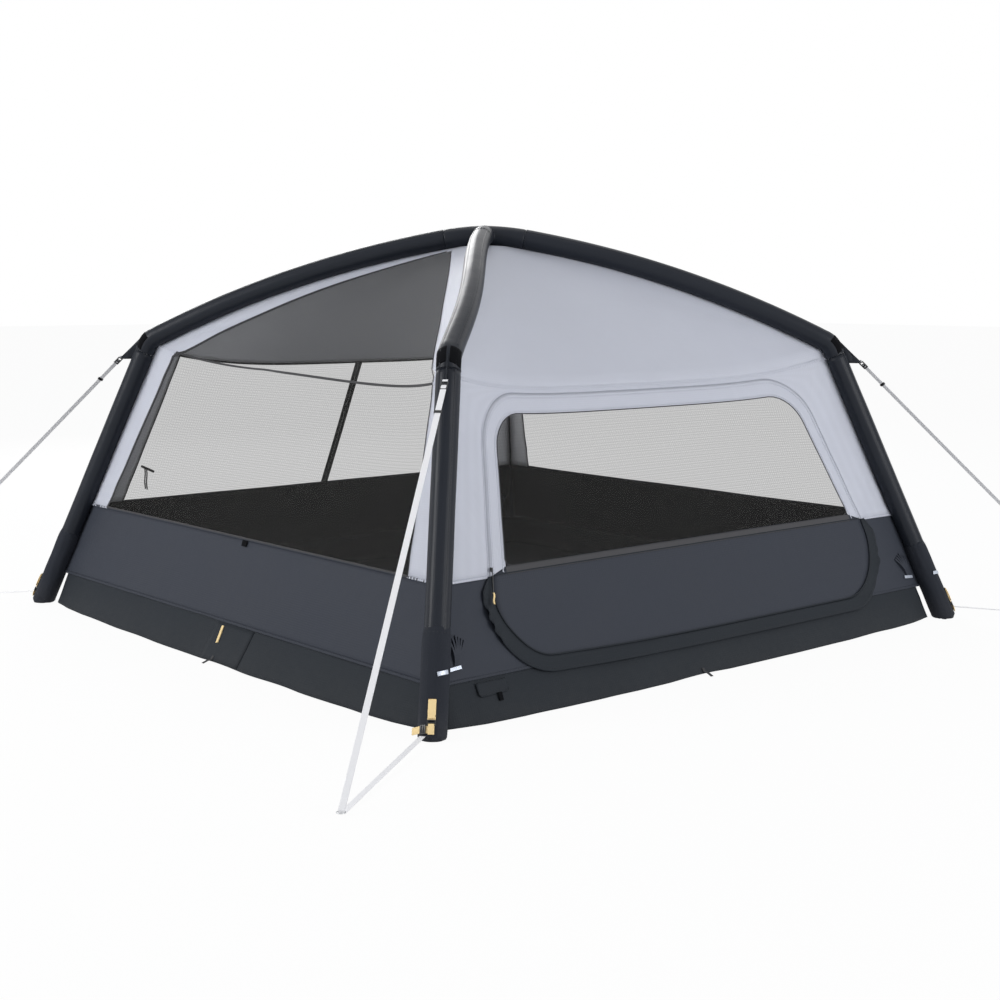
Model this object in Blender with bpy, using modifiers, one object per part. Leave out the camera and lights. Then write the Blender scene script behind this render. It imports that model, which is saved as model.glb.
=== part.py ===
"""Four-legged inflatable tent: an air frame in fabric sleeves that carries walls, roof, doors and guys.

Metres, +Z up, origin on the ground under the hub. The door wall faces -Y.
Legs stand on the corners of a square, arms run along its diagonals to one hub.
Each wall is drawn once as the front wall and turned about Z to its side.
"""

import math

import bmesh
import bpy
from mathutils import Matrix, Vector

# Air frame: centreline of one half arch, in the vertical plane through its leg
FOOT_HALF = 1.65
SHOULDER_HALF_WIDTH = 1.217
SHOULDER_HEIGHT = 1.373
SHOULDER_SLOPE = math.radians(27)
HUB_SLOPE = math.radians(10)
HUB_REACH = 0.20
BEND_RADIUS = 0.10
TUBE_RADIUS = 0.05
TUBE_SIDES = 16

# Sleeves and the bladder in them
SLEEVE_WALL = 0.0012
BLADDER_GAP = 0.0016
BLADDER_SIDES = 12
BLADDER_WALL = 0.0010
SLEEVE_SEAM_DROP = 0.03
PIECE_GAP = 0.0003
CUT_OVERRUN = 0.05

# Boots at the leg ends
BOOT_WALL = 0.0045
BOOT_HEIGHT = 0.40
SLEEVE_LIFT = 0.0015

# Fabric: the solids are drawn thicker than the real cloth
CLOTH = 0.0024
CORNER_OFFSET = 0.043
EDGE_CLEARANCE_SHARE = 0.75
BASE_HEIGHT = 0.165
SILL_HEIGHT = 0.52
SILL_SAG = 0.010
SEAM_SAG = 0.12
SEAM_DIP = 0.095
SEAM_HEM = 0.012
SAG_POWER = 4
ROOF_END_HALF = 0.085
HEM_LIFT = 0.004
SKIRT_FLARE = 0.055
WALL_COLUMNS = 12
WALL_ROWS = 3
ROOF_STEPS = 6

# Groundsheet: a shallow tray inside the walls
FLOOR_LIFT = 0.005

# Front door, in elevation
DOOR_HALF = 1.192
DOOR_TAPER_SHARE = 0.275
DOOR_TOP_DROP = 0.178
DOOR_BOTTOM = 0.173
DOOR_TOP_RADIUS = 0.25
DOOR_BOTTOM_RADIUS = 0.25
DOOR_GAP = 0.0015
DOOR_HINGE_HEIGHT = 0.62
HINGE_STANDOFF = 0.004
LEAF_STANDOFF = 0.012
WINDOW_BORDER = 0.075
WINDOW_BOTTOM = 0.55
WINDOW_BOTTOM_RADIUS = 0.02
ARC_STEPS = 6

# Side strips that frame the mesh walls: their width from the leg line
STRIP_AT_SILL = 0.205
STRIP_AT_SEAM = 0.150
STRIP_AT_HUB = 0.085
LEAF_GAP = 0.004
LEAF_HINGE_HEIGHT = 0.62

# Guys
GUSSET_TIP_WIDTH = 0.108
GUSSET_TIP_DROP = 0.091
GUSSET_TOP_RISE = 0.055
GUSSET_FOOT_DROP = 0.115
GUSSET_THICKNESS = 0.003
GUY_GROUND_HALF = 2.24
FRONT_GUY_GROUND_X = 2.38
FRONT_GUY_GROUND_Y = 2.114
STRAP_WIDTH = 0.020
STRAP_THICKNESS = 0.0016
STRAP_GROUND_LIFT = 0.009
GUY_BUCKLE_START = 0.0008
GUY_BUCKLE_LENGTH = 0.040
GUY_BUCKLE_WIDTH = 0.028
GUY_BUCKLE_DEPTH = 0.006
BUCKLE_SLOT_LENGTH = 0.009
BUCKLE_BAR = 0.004
BUCKLE_SLOT_SHARES = (0.27, 0.73)
SLIDER_START = 0.150
SLIDER_LENGTH = 0.012
SLIDER_WIDTH = 0.030
SLIDER_DEPTH = 0.007
SLIDER_CLEARANCE = 0.0008
EYELET_RADIUS = 0.008
EYELET_DEPTH = 0.004

# Webbing anchor on each boot
ANCHOR_WIDTH = 0.026
ANCHOR_THICKNESS = 0.003
ANCHOR_TOP = 0.165
ANCHOR_BOTTOM = 0.012
ANCHOR_TAB = 0.085
ANCHOR_TAB_HEIGHT = 0.045
ANCHOR_BUCKLE_LENGTH = 0.030
ANCHOR_BUCKLE_DEPTH = 0.009
ANCHOR_BUCKLE_HEIGHT = 0.085

# Valve on the back right leg, outside face
VALVE_HEIGHT = 0.62
VALVE_TUBE_RADIUS = 0.014
VALVE_BORE_RADIUS = 0.010
VALVE_FLANGE_RADIUS = 0.024
VALVE_FLANGE_THICKNESS = 0.003
VALVE_NECK_HEIGHT = 0.008
VALVE_TAIL = 0.006
CAP_RADIUS = 0.019
CAP_DEPTH = 0.010
CAP_TOP = 0.003
CAP_LOBES = 12
CAP_LOBE_DEPTH = 0.001
CAP_GAP = 0.0004

# Zip sliders and the cable flap
ZIP_CLEARANCE = 0.0005
ZIP_SLIDER_LENGTH = 0.022
ZIP_SLIDER_WIDTH = 0.014
ZIP_SLIDER_DEPTH = 0.006
ZIP_PULL_LENGTH = 0.045
ZIP_PULL_WIDTH = 0.008
ZIP_PULL_DEPTH = 0.0025
DOOR_ZIP_HEIGHT = 0.545
DOOR_ZIP_OFFSET = 0.006
BACK_ZIP_HEIGHT = 0.57
FLAP_CENTRE_OFFSET = 1.31
FLAP_WIDTH = 0.15
FLAP_TOP = 0.145
FLAP_DROP = 0.055
FLAP_THICKNESS = 0.002
FLAP_ROUND = 0.012

ROOT2 = math.sqrt(2)
LEG_LEAN = math.atan2((FOOT_HALF - SHOULDER_HALF_WIDTH) * ROOT2, SHOULDER_HEIGHT)
BOOT_RADIUS = TUBE_RADIUS + PIECE_GAP + BOOT_WALL

SIDES = {"front": 0, "right": 90, "back": 180, "left": 270}
LEGS = {"front_left": 225, "front_right": 315, "back_right": 45, "back_left": 135}

COLOURS = {
    "sleeve_fabric": (0.022, 0.026, 0.035, 0.55, 0.0),
    "bladder_film": (0.30, 0.30, 0.28, 0.45, 0.0),
    "boot_fabric": (0.020, 0.023, 0.028, 0.65, 0.0),
    "wall_fabric": (0.53, 0.55, 0.60, 0.75, 0.0),
    "sill_fabric": (0.050, 0.057, 0.075, 0.65, 0.0),
    "skirt_fabric": (0.036, 0.041, 0.048, 0.65, 0.0),
    "mesh_fabric": (0.10, 0.10, 0.10, 0.80, 0.0),
    "floor_fabric": (0.013, 0.013, 0.015, 0.70, 0.0),
    "orange_webbing": (0.84, 0.46, 0.10, 0.70, 0.0),
    "guy_webbing": (0.75, 0.75, 0.76, 0.70, 0.0),
    "black_plastic": (0.015, 0.015, 0.016, 0.40, 0.0),
}


def clear_scene():
    for item in list(bpy.data.objects):
        bpy.data.objects.remove(item)


def new_collection(name):
    collection = bpy.data.collections.new(name)
    bpy.context.scene.collection.children.link(collection)
    return collection


def make_material(name):
    red, green, blue, roughness, metallic = COLOURS[name]
    material = bpy.data.materials.new(name)
    material.use_nodes = True
    shader = material.node_tree.nodes["Principled BSDF"]
    shader.inputs["Base Color"].default_value = (red, green, blue, 1)
    shader.inputs["Roughness"].default_value = roughness
    shader.inputs["Metallic"].default_value = metallic
    material.diffuse_color = (red, green, blue, 1)
    return material


clear_scene()
PARTS = new_collection("inflatable_tent")
CUTTERS = new_collection("cutters")
MATERIALS = {name: make_material(name) for name in COLOURS}


def place(name, data, material=None, turn=0.0):
    """Links one object: a part if it has a material, else a hidden cutter."""
    item = bpy.data.objects.new(name, data)
    item.rotation_euler.z = math.radians(turn)
    if material:
        PARTS.objects.link(item)
        data.materials.clear()
        data.materials.append(MATERIALS[material])
        return item
    CUTTERS.objects.link(item)
    item.hide_render = True
    item.display_type = "WIRE"
    return item


def boolean(item, cutter, operation="DIFFERENCE"):
    modifier = item.modifiers.new(operation.lower(), "BOOLEAN")
    modifier.operation = operation
    modifier.solver = "EXACT"
    modifier.object = cutter
    return modifier


def solidify(item, thickness, offset):
    modifier = item.modifiers.new("thickness", "SOLIDIFY")
    modifier.thickness = thickness
    modifier.offset = offset
    modifier.use_even_offset = True
    return modifier


def evaluated_mesh(item):
    bpy.context.view_layer.update()
    graph = bpy.context.evaluated_depsgraph_get()
    return bpy.data.meshes.new_from_object(item.evaluated_get(graph))


def welded(mesh):
    """Joins a converted curve's loose caps to its sides."""
    work = bmesh.new()
    work.from_mesh(mesh)
    bmesh.ops.remove_doubles(work, verts=work.verts, dist=PIECE_GAP / 10)
    bmesh.ops.recalc_face_normals(work, faces=work.faces)
    work.to_mesh(mesh)
    work.free()
    return mesh


def curve_mesh(curve, matrix=None):
    """Turns curve data into a welded mesh, moved by a matrix."""
    item = bpy.data.objects.new("guide", curve)
    CUTTERS.objects.link(item)
    mesh = evaluated_mesh(item)
    bpy.data.objects.remove(item)
    if matrix:
        mesh.transform(matrix)
    return welded(mesh)


def tube_mesh(points, radius, sides=TUBE_SIDES, caps=True):
    """A round tube along straight runs between points."""
    curve = bpy.data.curves.new("tube", "CURVE")
    curve.dimensions = "3D"
    curve.twist_mode = "Z_UP"
    curve.bevel_depth = radius
    curve.bevel_resolution = (sides - 4) // 2
    curve.use_fill_caps = caps
    spline = curve.splines.new("POLY")
    spline.points.add(len(points) - 1)
    for spot, point in zip(spline.points, points):
        spot.co = (*point, 1)
    mesh = curve_mesh(curve)
    mesh.shade_smooth()
    mesh.set_sharp_from_angle(angle=math.radians(40))
    return mesh


def plate_mesh(outline, thickness, holes=()):
    """A flat outline of (x, z) points, standing in the XZ plane, thick along Y about y = 0."""
    curve = bpy.data.curves.new("plate", "CURVE")
    curve.dimensions = "2D"
    curve.fill_mode = "BOTH"
    curve.extrude = thickness / 2
    for loop in (outline, *holes):
        spline = curve.splines.new("POLY")
        spline.points.add(len(loop) - 1)
        spline.use_cyclic_u = True
        for spot, (across, up) in zip(spline.points, loop):
            spot.co = (across, up, 0, 1)
    return curve_mesh(curve, Matrix.Rotation(math.radians(90), 4, "X"))


def box_mesh(size, centre, matrix=None):
    """A box of a size about a centre, then moved by a matrix."""
    work = bmesh.new()
    bmesh.ops.create_cube(work, size=1)
    bmesh.ops.scale(work, vec=size, verts=work.verts)
    bmesh.ops.translate(work, vec=centre, verts=work.verts)
    mesh = bpy.data.meshes.new("box")
    work.to_mesh(mesh)
    work.free()
    if matrix:
        mesh.transform(matrix)
    return mesh


def apex_height():
    """Height of the centreline over the hub."""
    hub_radius = HUB_REACH / math.sin(HUB_SLOPE)
    arm_radius = arm_arc_radius()
    arm_rise = arm_radius * (math.cos(HUB_SLOPE) - math.cos(SHOULDER_SLOPE))
    return SHOULDER_HEIGHT + arm_rise + hub_radius * (1 - math.cos(HUB_SLOPE))


def arm_arc_radius():
    reach = SHOULDER_HALF_WIDTH * ROOT2 - HUB_REACH
    return reach / (math.sin(SHOULDER_SLOPE) - math.sin(HUB_SLOPE))


def arm_point(slope, offset=0.0):
    """Point (reach from the centre, height) on the arm where it has this slope, offset outwards."""
    if slope >= HUB_SLOPE:
        radius = arm_arc_radius()
        reach = HUB_REACH + radius * (math.sin(slope) - math.sin(HUB_SLOPE))
        height = SHOULDER_HEIGHT + radius * (math.cos(slope) - math.cos(SHOULDER_SLOPE))
    else:
        radius = HUB_REACH / math.sin(HUB_SLOPE)
        reach = radius * math.sin(slope)
        height = apex_height() - radius * (1 - math.cos(slope))
    return Vector((reach + offset * math.sin(slope), height + offset * math.cos(slope)))


def leg_point(height, offset=0.0):
    """Point on the leg's line at a height, offset outwards at that height."""
    reach = FOOT_HALF * ROOT2 - height * math.tan(LEG_LEAN)
    return Vector((reach + offset / math.cos(LEG_LEAN), height))


def bend_tangent():
    turn = math.radians(90) - LEG_LEAN - SHOULDER_SLOPE
    return BEND_RADIUS * math.tan(turn / 2)


def leg_seam_height():
    """Where the leg's sleeve ends and the arm's begins, just under the bend."""
    return SHOULDER_HEIGHT - (bend_tangent() + SLEEVE_SEAM_DROP) * math.cos(LEG_LEAN)


def bend_points(steps=4):
    """The centreline round the shoulder, from the leg's line to the arm's."""
    tangent = bend_tangent()
    corner = Vector((SHOULDER_HALF_WIDTH * ROOT2, SHOULDER_HEIGHT))
    start = corner - tangent * Vector((-math.sin(LEG_LEAN), math.cos(LEG_LEAN)))
    first = math.radians(90) - LEG_LEAN
    centre = start - BEND_RADIUS * Vector((math.sin(first), math.cos(first)))
    slopes = [first + (SHOULDER_SLOPE - first) * step / steps for step in range(steps + 1)]
    return [centre + BEND_RADIUS * Vector((math.sin(s), math.cos(s))) for s in slopes]


def arm_slopes(steps=ROOF_STEPS):
    return [SHOULDER_SLOPE + (HUB_SLOPE - SHOULDER_SLOPE) * step / steps for step in range(1, steps + 1)]


def hub_slopes(steps=2):
    return [HUB_SLOPE * (1 - step / steps) for step in range(1, steps + 1)]


def standing(point):
    """A (reach, height) point as a 3D point in the plane of the arch."""
    return (point.x, 0.0, point.y)


def half_arch(foot_height):
    """The centreline from a height on the leg to the hub's centre."""
    path = [leg_point(foot_height), leg_point(leg_seam_height())]
    path += bend_points()
    path += [arm_point(slope) for slope in arm_slopes()]
    path += [arm_point(slope) for slope in hub_slopes()]
    return [standing(point) for point in path]


def shortened(points, gap):
    """The same run with both ends drawn in by a gap."""
    points = [Vector(point) for point in points]
    points[0] += (points[1] - points[0]).normalized() * gap
    points[-1] += (points[-2] - points[-1]).normalized() * gap
    return points


def leg_start_height():
    """The sleeve's lower end clears the boot's sole."""
    return BOOT_WALL + SLEEVE_LIFT + TUBE_RADIUS * math.sin(LEG_LEAN)


def trimmed(mesh, point, direction):
    """Clears what lies beyond a plane."""
    work = bmesh.new()
    work.from_mesh(mesh)
    everything = work.verts[:] + work.edges[:] + work.faces[:]
    bmesh.ops.bisect_plane(
        work, geom=everything, plane_co=point, plane_no=direction, clear_outer=True
    )
    work.to_mesh(mesh)
    work.free()
    return mesh


def hub_seam(side):
    """The plane of the hub's seam: a point and a direction, towards the hub for side 1."""
    direction = side * Vector((-math.cos(HUB_SLOPE), 0, math.sin(HUB_SLOPE)))
    return Vector(standing(arm_point(HUB_SLOPE))) - direction * PIECE_GAP / 2, direction


def make_sleeves():
    """Leg and arm sleeves: open tubes of cloth, turned to their corners."""
    path = half_arch(leg_start_height())
    hub_start = len(path) - 1 - len(hub_slopes())
    for leg, turn in LEGS.items():
        lower = tube_mesh(shortened(path[:2], PIECE_GAP / 2), TUBE_RADIUS, caps=False)
        lower_sleeve = place("leg_sleeve_" + leg, lower, "sleeve_fabric", turn)
        solidify(lower_sleeve, SLEEVE_WALL, -1)
        if leg == "back_right":
            boolean(lower_sleeve, VALVE_CUTTER)
        run = shortened(path[1 : hub_start + 2], PIECE_GAP / 2)
        upper = trimmed(tube_mesh(run, TUBE_RADIUS, caps=False), *hub_seam(1))
        solidify(place("arm_sleeve_" + leg, upper, "sleeve_fabric", turn), SLEEVE_WALL, -1)


def crossed_mesh(mesh):
    """Half an arch, mitred against its neighbours and turned four times: one X-shaped skin."""
    for side in (1, -1):
        trimmed(mesh, (0, 0, 0), (-1, side, 0))
    work = bmesh.new()
    work.from_mesh(mesh)
    quarter = work.verts[:] + work.edges[:] + work.faces[:]
    for turn in (90, 180, 270):
        copied = bmesh.ops.duplicate(work, geom=quarter)["geom"]
        points = [item for item in copied if isinstance(item, bmesh.types.BMVert)]
        matrix = Matrix.Rotation(math.radians(turn), 3, "Z")
        bmesh.ops.rotate(work, verts=points, cent=(0, 0, 0), matrix=matrix)
    bmesh.ops.remove_doubles(work, verts=work.verts, dist=PIECE_GAP / 10)
    bmesh.ops.recalc_face_normals(work, faces=work.faces)
    work.to_mesh(mesh)
    work.free()
    return mesh


def over_the_top(path):
    """Runs a half arch on over the hub, so that its end is square to the middle."""
    return path + [(-x, y, z) for x, y, z in path[-2:-1]]


def capped(mesh, below=None):
    """Closes the open ends of a mesh, or those below a height, with flat faces."""
    work = bmesh.new()
    work.from_mesh(mesh)
    rims = [edge for edge in work.edges if edge.is_boundary]
    if below:
        rims = [edge for edge in rims if edge.verts[0].co.z < below]
    bmesh.ops.holes_fill(work, edges=rims)
    bmesh.ops.recalc_face_normals(work, faces=work.faces)
    work.to_mesh(mesh)
    work.free()
    return mesh


def make_hub():
    """The hub's sleeve: one crossed piece, open at its four ends."""
    slopes = [arm_slopes()[-2], HUB_SLOPE] + hub_slopes()
    path = over_the_top([standing(arm_point(slope)) for slope in slopes])
    arm = trimmed(tube_mesh(path, TUBE_RADIUS, caps=False), *hub_seam(-1))
    hub = place("hub_sleeve", crossed_mesh(arm), "sleeve_fabric", LEGS["back_right"])
    solidify(hub, SLEEVE_WALL, -1)


def make_bladder():
    """The airtight bladder: one crossed tube with a hole for the valve."""
    path = over_the_top(half_arch(leg_start_height() + BLADDER_GAP))
    radius = TUBE_RADIUS - SLEEVE_WALL - BLADDER_GAP
    mesh = capped(crossed_mesh(tube_mesh(path, radius, BLADDER_SIDES, caps=False)))
    bladder = place("air_bladder", mesh, "bladder_film", LEGS["back_right"])
    solidify(bladder, BLADDER_WALL, -1)
    boolean(bladder, VALVE_CUTTER)


def boot_axis(low, high):
    return [standing(leg_point(low)), standing(leg_point(high))]


def make_boots():
    """Cups on the leg ends, cut level at the ground."""
    for leg, turn in LEGS.items():
        mesh = tube_mesh(boot_axis(-CUT_OVERRUN, BOOT_HEIGHT), BOOT_RADIUS, TUBE_SIDES, caps=False)
        trimmed(mesh, (0, 0, 0), (0, 0, -1))
        capped(mesh, BOOT_HEIGHT / 2)
        modifier = solidify(place("foot_boot_" + leg, mesh, "boot_fabric", turn), BOOT_WALL, -1)
        modifier.solidify_mode = "NON_MANIFOLD"
        modifier.nonmanifold_thickness_mode = "CONSTRAINTS"


def make_frame_cutters():
    """What the cloth is cut back to: each half arch and boot, with a gap."""
    for leg, turn in LEGS.items():
        path = half_arch(-CUT_OVERRUN)
        place("cut_arch_" + leg, tube_mesh(path, TUBE_RADIUS + PIECE_GAP), turn=turn)
        axis = boot_axis(-CUT_OVERRUN, BOOT_HEIGHT + PIECE_GAP)
        place("cut_round_boot_" + leg, tube_mesh(axis, BOOT_RADIUS + PIECE_GAP, TUBE_SIDES), turn=turn)


def crease():
    """The skin's corner at the shoulder: where its leg line and arm line meet."""
    leg = leg_point(0, -CORNER_OFFSET)
    arm = arm_point(SHOULDER_SLOPE, -CORNER_OFFSET)
    lean = math.tan(LEG_LEAN)
    slope = math.tan(SHOULDER_SLOPE)
    reach = (arm.y + slope * arm.x - leg.x / lean) / (slope - 1 / lean)
    return Vector((reach, arm.y - slope * (reach - arm.x)))


def wall_station(height):
    """Row of a wall: half width of its corner line, height, inset and dip at mid wall."""
    half = leg_point(height, -CORNER_OFFSET).x / ROOT2
    share = (height - SILL_HEIGHT) / (crease().y - SILL_HEIGHT)
    if share < 0:
        return half, height, SILL_SAG * (height - BASE_HEIGHT) / (SILL_HEIGHT - BASE_HEIGHT), 0.0
    return half, height, SILL_SAG + (SEAM_SAG - SILL_SAG) * share, SEAM_DIP * share


def wall_stations(low, high, rows):
    return [wall_station(low + (high - low) * row / rows) for row in range(rows + 1)]


def roof_stations(gap):
    """Rows of the roof from just above the crease to the hub."""
    corner = crease()
    first = Vector((corner.x - gap * math.cos(SHOULDER_SLOPE), corner.y + gap * math.sin(SHOULDER_SLOPE)))
    end_slope = math.asin(ROOF_END_HALF * ROOT2 * math.sin(HUB_SLOPE) / HUB_REACH)
    line = [arm_point(slope, -CORNER_OFFSET) for slope in arm_slopes() + [end_slope]]
    stations = []
    for point in [first] + line:
        share = (point.x / ROOT2 - ROOF_END_HALF) / (corner.x / ROOT2 - ROOF_END_HALF)
        stations.append((point.x / ROOT2, point.y, SEAM_SAG * share, SEAM_DIP * share))
    return stations


def skin_point(across, station):
    """A point of the skin: across runs from -1 to 1 between the corner lines."""
    half, height, inset, dip = station
    fade = 1 - abs(across) ** SAG_POWER
    return (across * half, -(half - inset * fade), height - dip * fade)


def off_frame(point):
    """Distance from a point of the front skin to the surface of its right-hand leg or arm."""
    reach = (point[0] - point[1]) / ROOT2
    aside = (point[0] + point[1]) / ROOT2
    spot = Vector((reach, point[2]))
    nearest = FOOT_HALF
    for first, second in zip(FRAME_LINE, FRAME_LINE[1:]):
        low, high = Vector((first[0], first[2])), Vector((second[0], second[2]))
        run = high - low
        share = min(max((spot - low).dot(run) / run.dot(run), 0), 1)
        nearest = min(nearest, (spot - low - run * share).length)
    radius = BOOT_RADIUS if point[2] <= BOOT_HEIGHT + PIECE_GAP else TUBE_RADIUS
    return math.hypot(nearest, aside) - radius


def edge_share(station):
    """How much of a row's half width is clear of the frame."""
    low, high = 0.0, 1.0
    wanted = PIECE_GAP + CLOTH * EDGE_CLEARANCE_SHARE
    for _ in range(24):
        middle = (low + high) / 2
        if off_frame(skin_point(middle, station)) > wanted:
            low = middle
        else:
            high = middle
    return low


def grid_mesh(rows):
    """A sheet through rows of points, facing out of the tent."""
    work = bmesh.new()
    lines = [[work.verts.new(point) for point in row] for row in rows]
    for low, high in zip(lines, lines[1:]):
        for column in range(len(low) - 1):
            work.faces.new((low[column], low[column + 1], high[column + 1], high[column]))
    mesh = bpy.data.meshes.new("sheet")
    work.to_mesh(mesh)
    work.free()
    return mesh


def skin_mesh(stations, columns=WALL_COLUMNS):
    rows = []
    for station in stations:
        edge = edge_share(station)
        steps = [edge * (2 * column / columns - 1) for column in range(columns + 1)]
        rows.append([skin_point(across, station) for across in steps])
    return grid_mesh(rows)


def cloth(name, mesh, material, side, cuts=(), keep=None):
    """A sheet thickened outwards, cut by outlines or kept inside one."""
    panel = place(name, mesh, material, SIDES[side])
    if cuts or keep:
        # A cut sheet gets the same diagonals on both faces, which then can't cross where it twists
        panel.modifiers.new("triangles", "TRIANGULATE")
    solidify(panel, CLOTH, 1)
    for cutter in cuts:
        boolean(panel, cutter)
    if keep:
        boolean(panel, keep, "INTERSECT")
    weld = panel.modifiers.new("weld", "WELD")
    weld.merge_threshold = PIECE_GAP / 3
    return panel


def rounded(corners, radii, steps=ARC_STEPS):
    """An outline through corners, each rounded by an arc of its radius."""
    points = []
    for index, (corner, radius) in enumerate(zip(corners, radii)):
        corner = Vector(corner)
        before = (Vector(corners[index - 1]) - corner).normalized()
        after = (Vector(corners[(index + 1) % len(corners)]) - corner).normalized()
        half = before.angle(after) / 2
        if radius <= 0:
            points.append(tuple(corner))
            continue
        centre = corner + (before + after).normalized() * radius / math.sin(half)
        start = corner + before * radius / math.tan(half) - centre
        end = corner + after * radius / math.tan(half) - centre
        sweep = start.angle_signed(end)
        for step in range(steps + 1):
            turn = Matrix.Rotation(-sweep * step / steps, 2)
            points.append(tuple(centre + turn @ start))
    return points


def door_half(height, inset=0.0):
    return DOOR_HALF - DOOR_TAPER_SHARE * (height - SILL_HEIGHT) - inset


def door_outline(inset=0.0, bottom=None, bottom_radius=None):
    """The door's outline in elevation, drawn in by an inset."""
    top = SHOULDER_HEIGHT - DOOR_TOP_DROP - inset
    low = DOOR_BOTTOM + inset if bottom is None else bottom
    low_radius = DOOR_BOTTOM_RADIUS - inset if bottom_radius is None else bottom_radius
    corners = [
        (-door_half(low, inset), low),
        (door_half(low, inset), low),
        (door_half(top, inset), top),
        (-door_half(top, inset), top),
    ]
    high_radius = DOOR_TOP_RADIUS - inset
    return rounded(corners, [low_radius, low_radius, high_radius, high_radius])


def window_outline(inset):
    return door_outline(WINDOW_BORDER + inset, WINDOW_BOTTOM + inset, WINDOW_BOTTOM_RADIUS)


def wall_cutter(name, outline, side, holes=()):
    """A prism through one wall, from an outline in its elevation."""
    mesh = plate_mesh(outline, FOOT_HALF * 2, holes)
    mesh.transform(Matrix.Translation((0, -FOOT_HALF, 0)))
    return place(name, mesh, turn=SIDES[side])


def strip_width(height):
    """How far the mesh stays from the leg's line at a height of the wall."""
    share = (height - SILL_HEIGHT) / (crease().y - SILL_HEIGHT)
    return STRIP_AT_SILL + (STRIP_AT_SEAM - STRIP_AT_SILL) * share


def opening_half(height, inset):
    half = leg_point(height).x / ROOT2
    return half - strip_width(height) - inset


def seam_height(across):
    return crease().y - SEAM_DIP * (1 - abs(across) ** SAG_POWER)


def wall_opening(inset, low_overrun=0.0, free_gap=0.0, left=None, right=None):
    """Opening of a mesh wall in elevation: slanted sides, a top that follows the seam."""
    low = SILL_HEIGHT + PIECE_GAP + free_gap * 2
    corner = crease().x / ROOT2
    top_share = opening_half(crease().y, inset) / corner
    start = -top_share if left is None else left / corner
    end = top_share if right is None else right / corner
    bottom_left = -opening_half(low, inset) if left is None else left
    bottom_right = opening_half(low, inset) if right is None else right
    points = [(bottom_left, low), (bottom_right, low)]
    if low_overrun:
        low -= low_overrun
        points = [points[0], (bottom_left, low), (bottom_right, low), points[1]]
    for step in range(WALL_COLUMNS + 1):
        across = end + (start - end) * step / WALL_COLUMNS
        points.append((across * corner, seam_height(across) - SEAM_HEM - inset - free_gap))
    return points


def left_opening(inset, low_overrun=0.0):
    """The left wall's mesh runs on over the crease to the hub."""
    low = SILL_HEIGHT + PIECE_GAP
    points = [(opening_half(low, inset), low)]
    if low_overrun:
        points.insert(0, (opening_half(low, inset), low - low_overrun))
    stations = roof_stations(0)
    last = stations[-1][0]
    first = stations[0][0]
    for half, height, slip, dip in stations[:-1]:
        share = (half - last) / (first - last)
        width = STRIP_AT_HUB + (STRIP_AT_SEAM - STRIP_AT_HUB) * share + inset
        across = max(half - width, 0) / half
        points.append((half - width, height - dip * (1 - across**SAG_POWER)))
    outline = [point for point in points if point[0] > STRIP_AT_HUB / 4]
    return outline + [(-across, up) for across, up in reversed(outline)]


def skin_spot(across, height):
    """The front skin's point at a distance across and a height of the wall's rows."""
    station = wall_station(height)
    return Vector(skin_point(across / station[0], station))


def hinge_spot(across, height, standoff):
    """A point of a hinge line, just in front of the cloth that it turns."""
    return surface_frame(across, height, 0) @ Vector((0, -CLOTH - standoff, 0))


def move_origin(item, point):
    """Puts a piece's origin on a point of its own frame without moving the piece."""
    item.data.transform(Matrix.Translation(-point))
    item.matrix_basis = item.matrix_basis @ Matrix.Translation(point)


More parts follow.
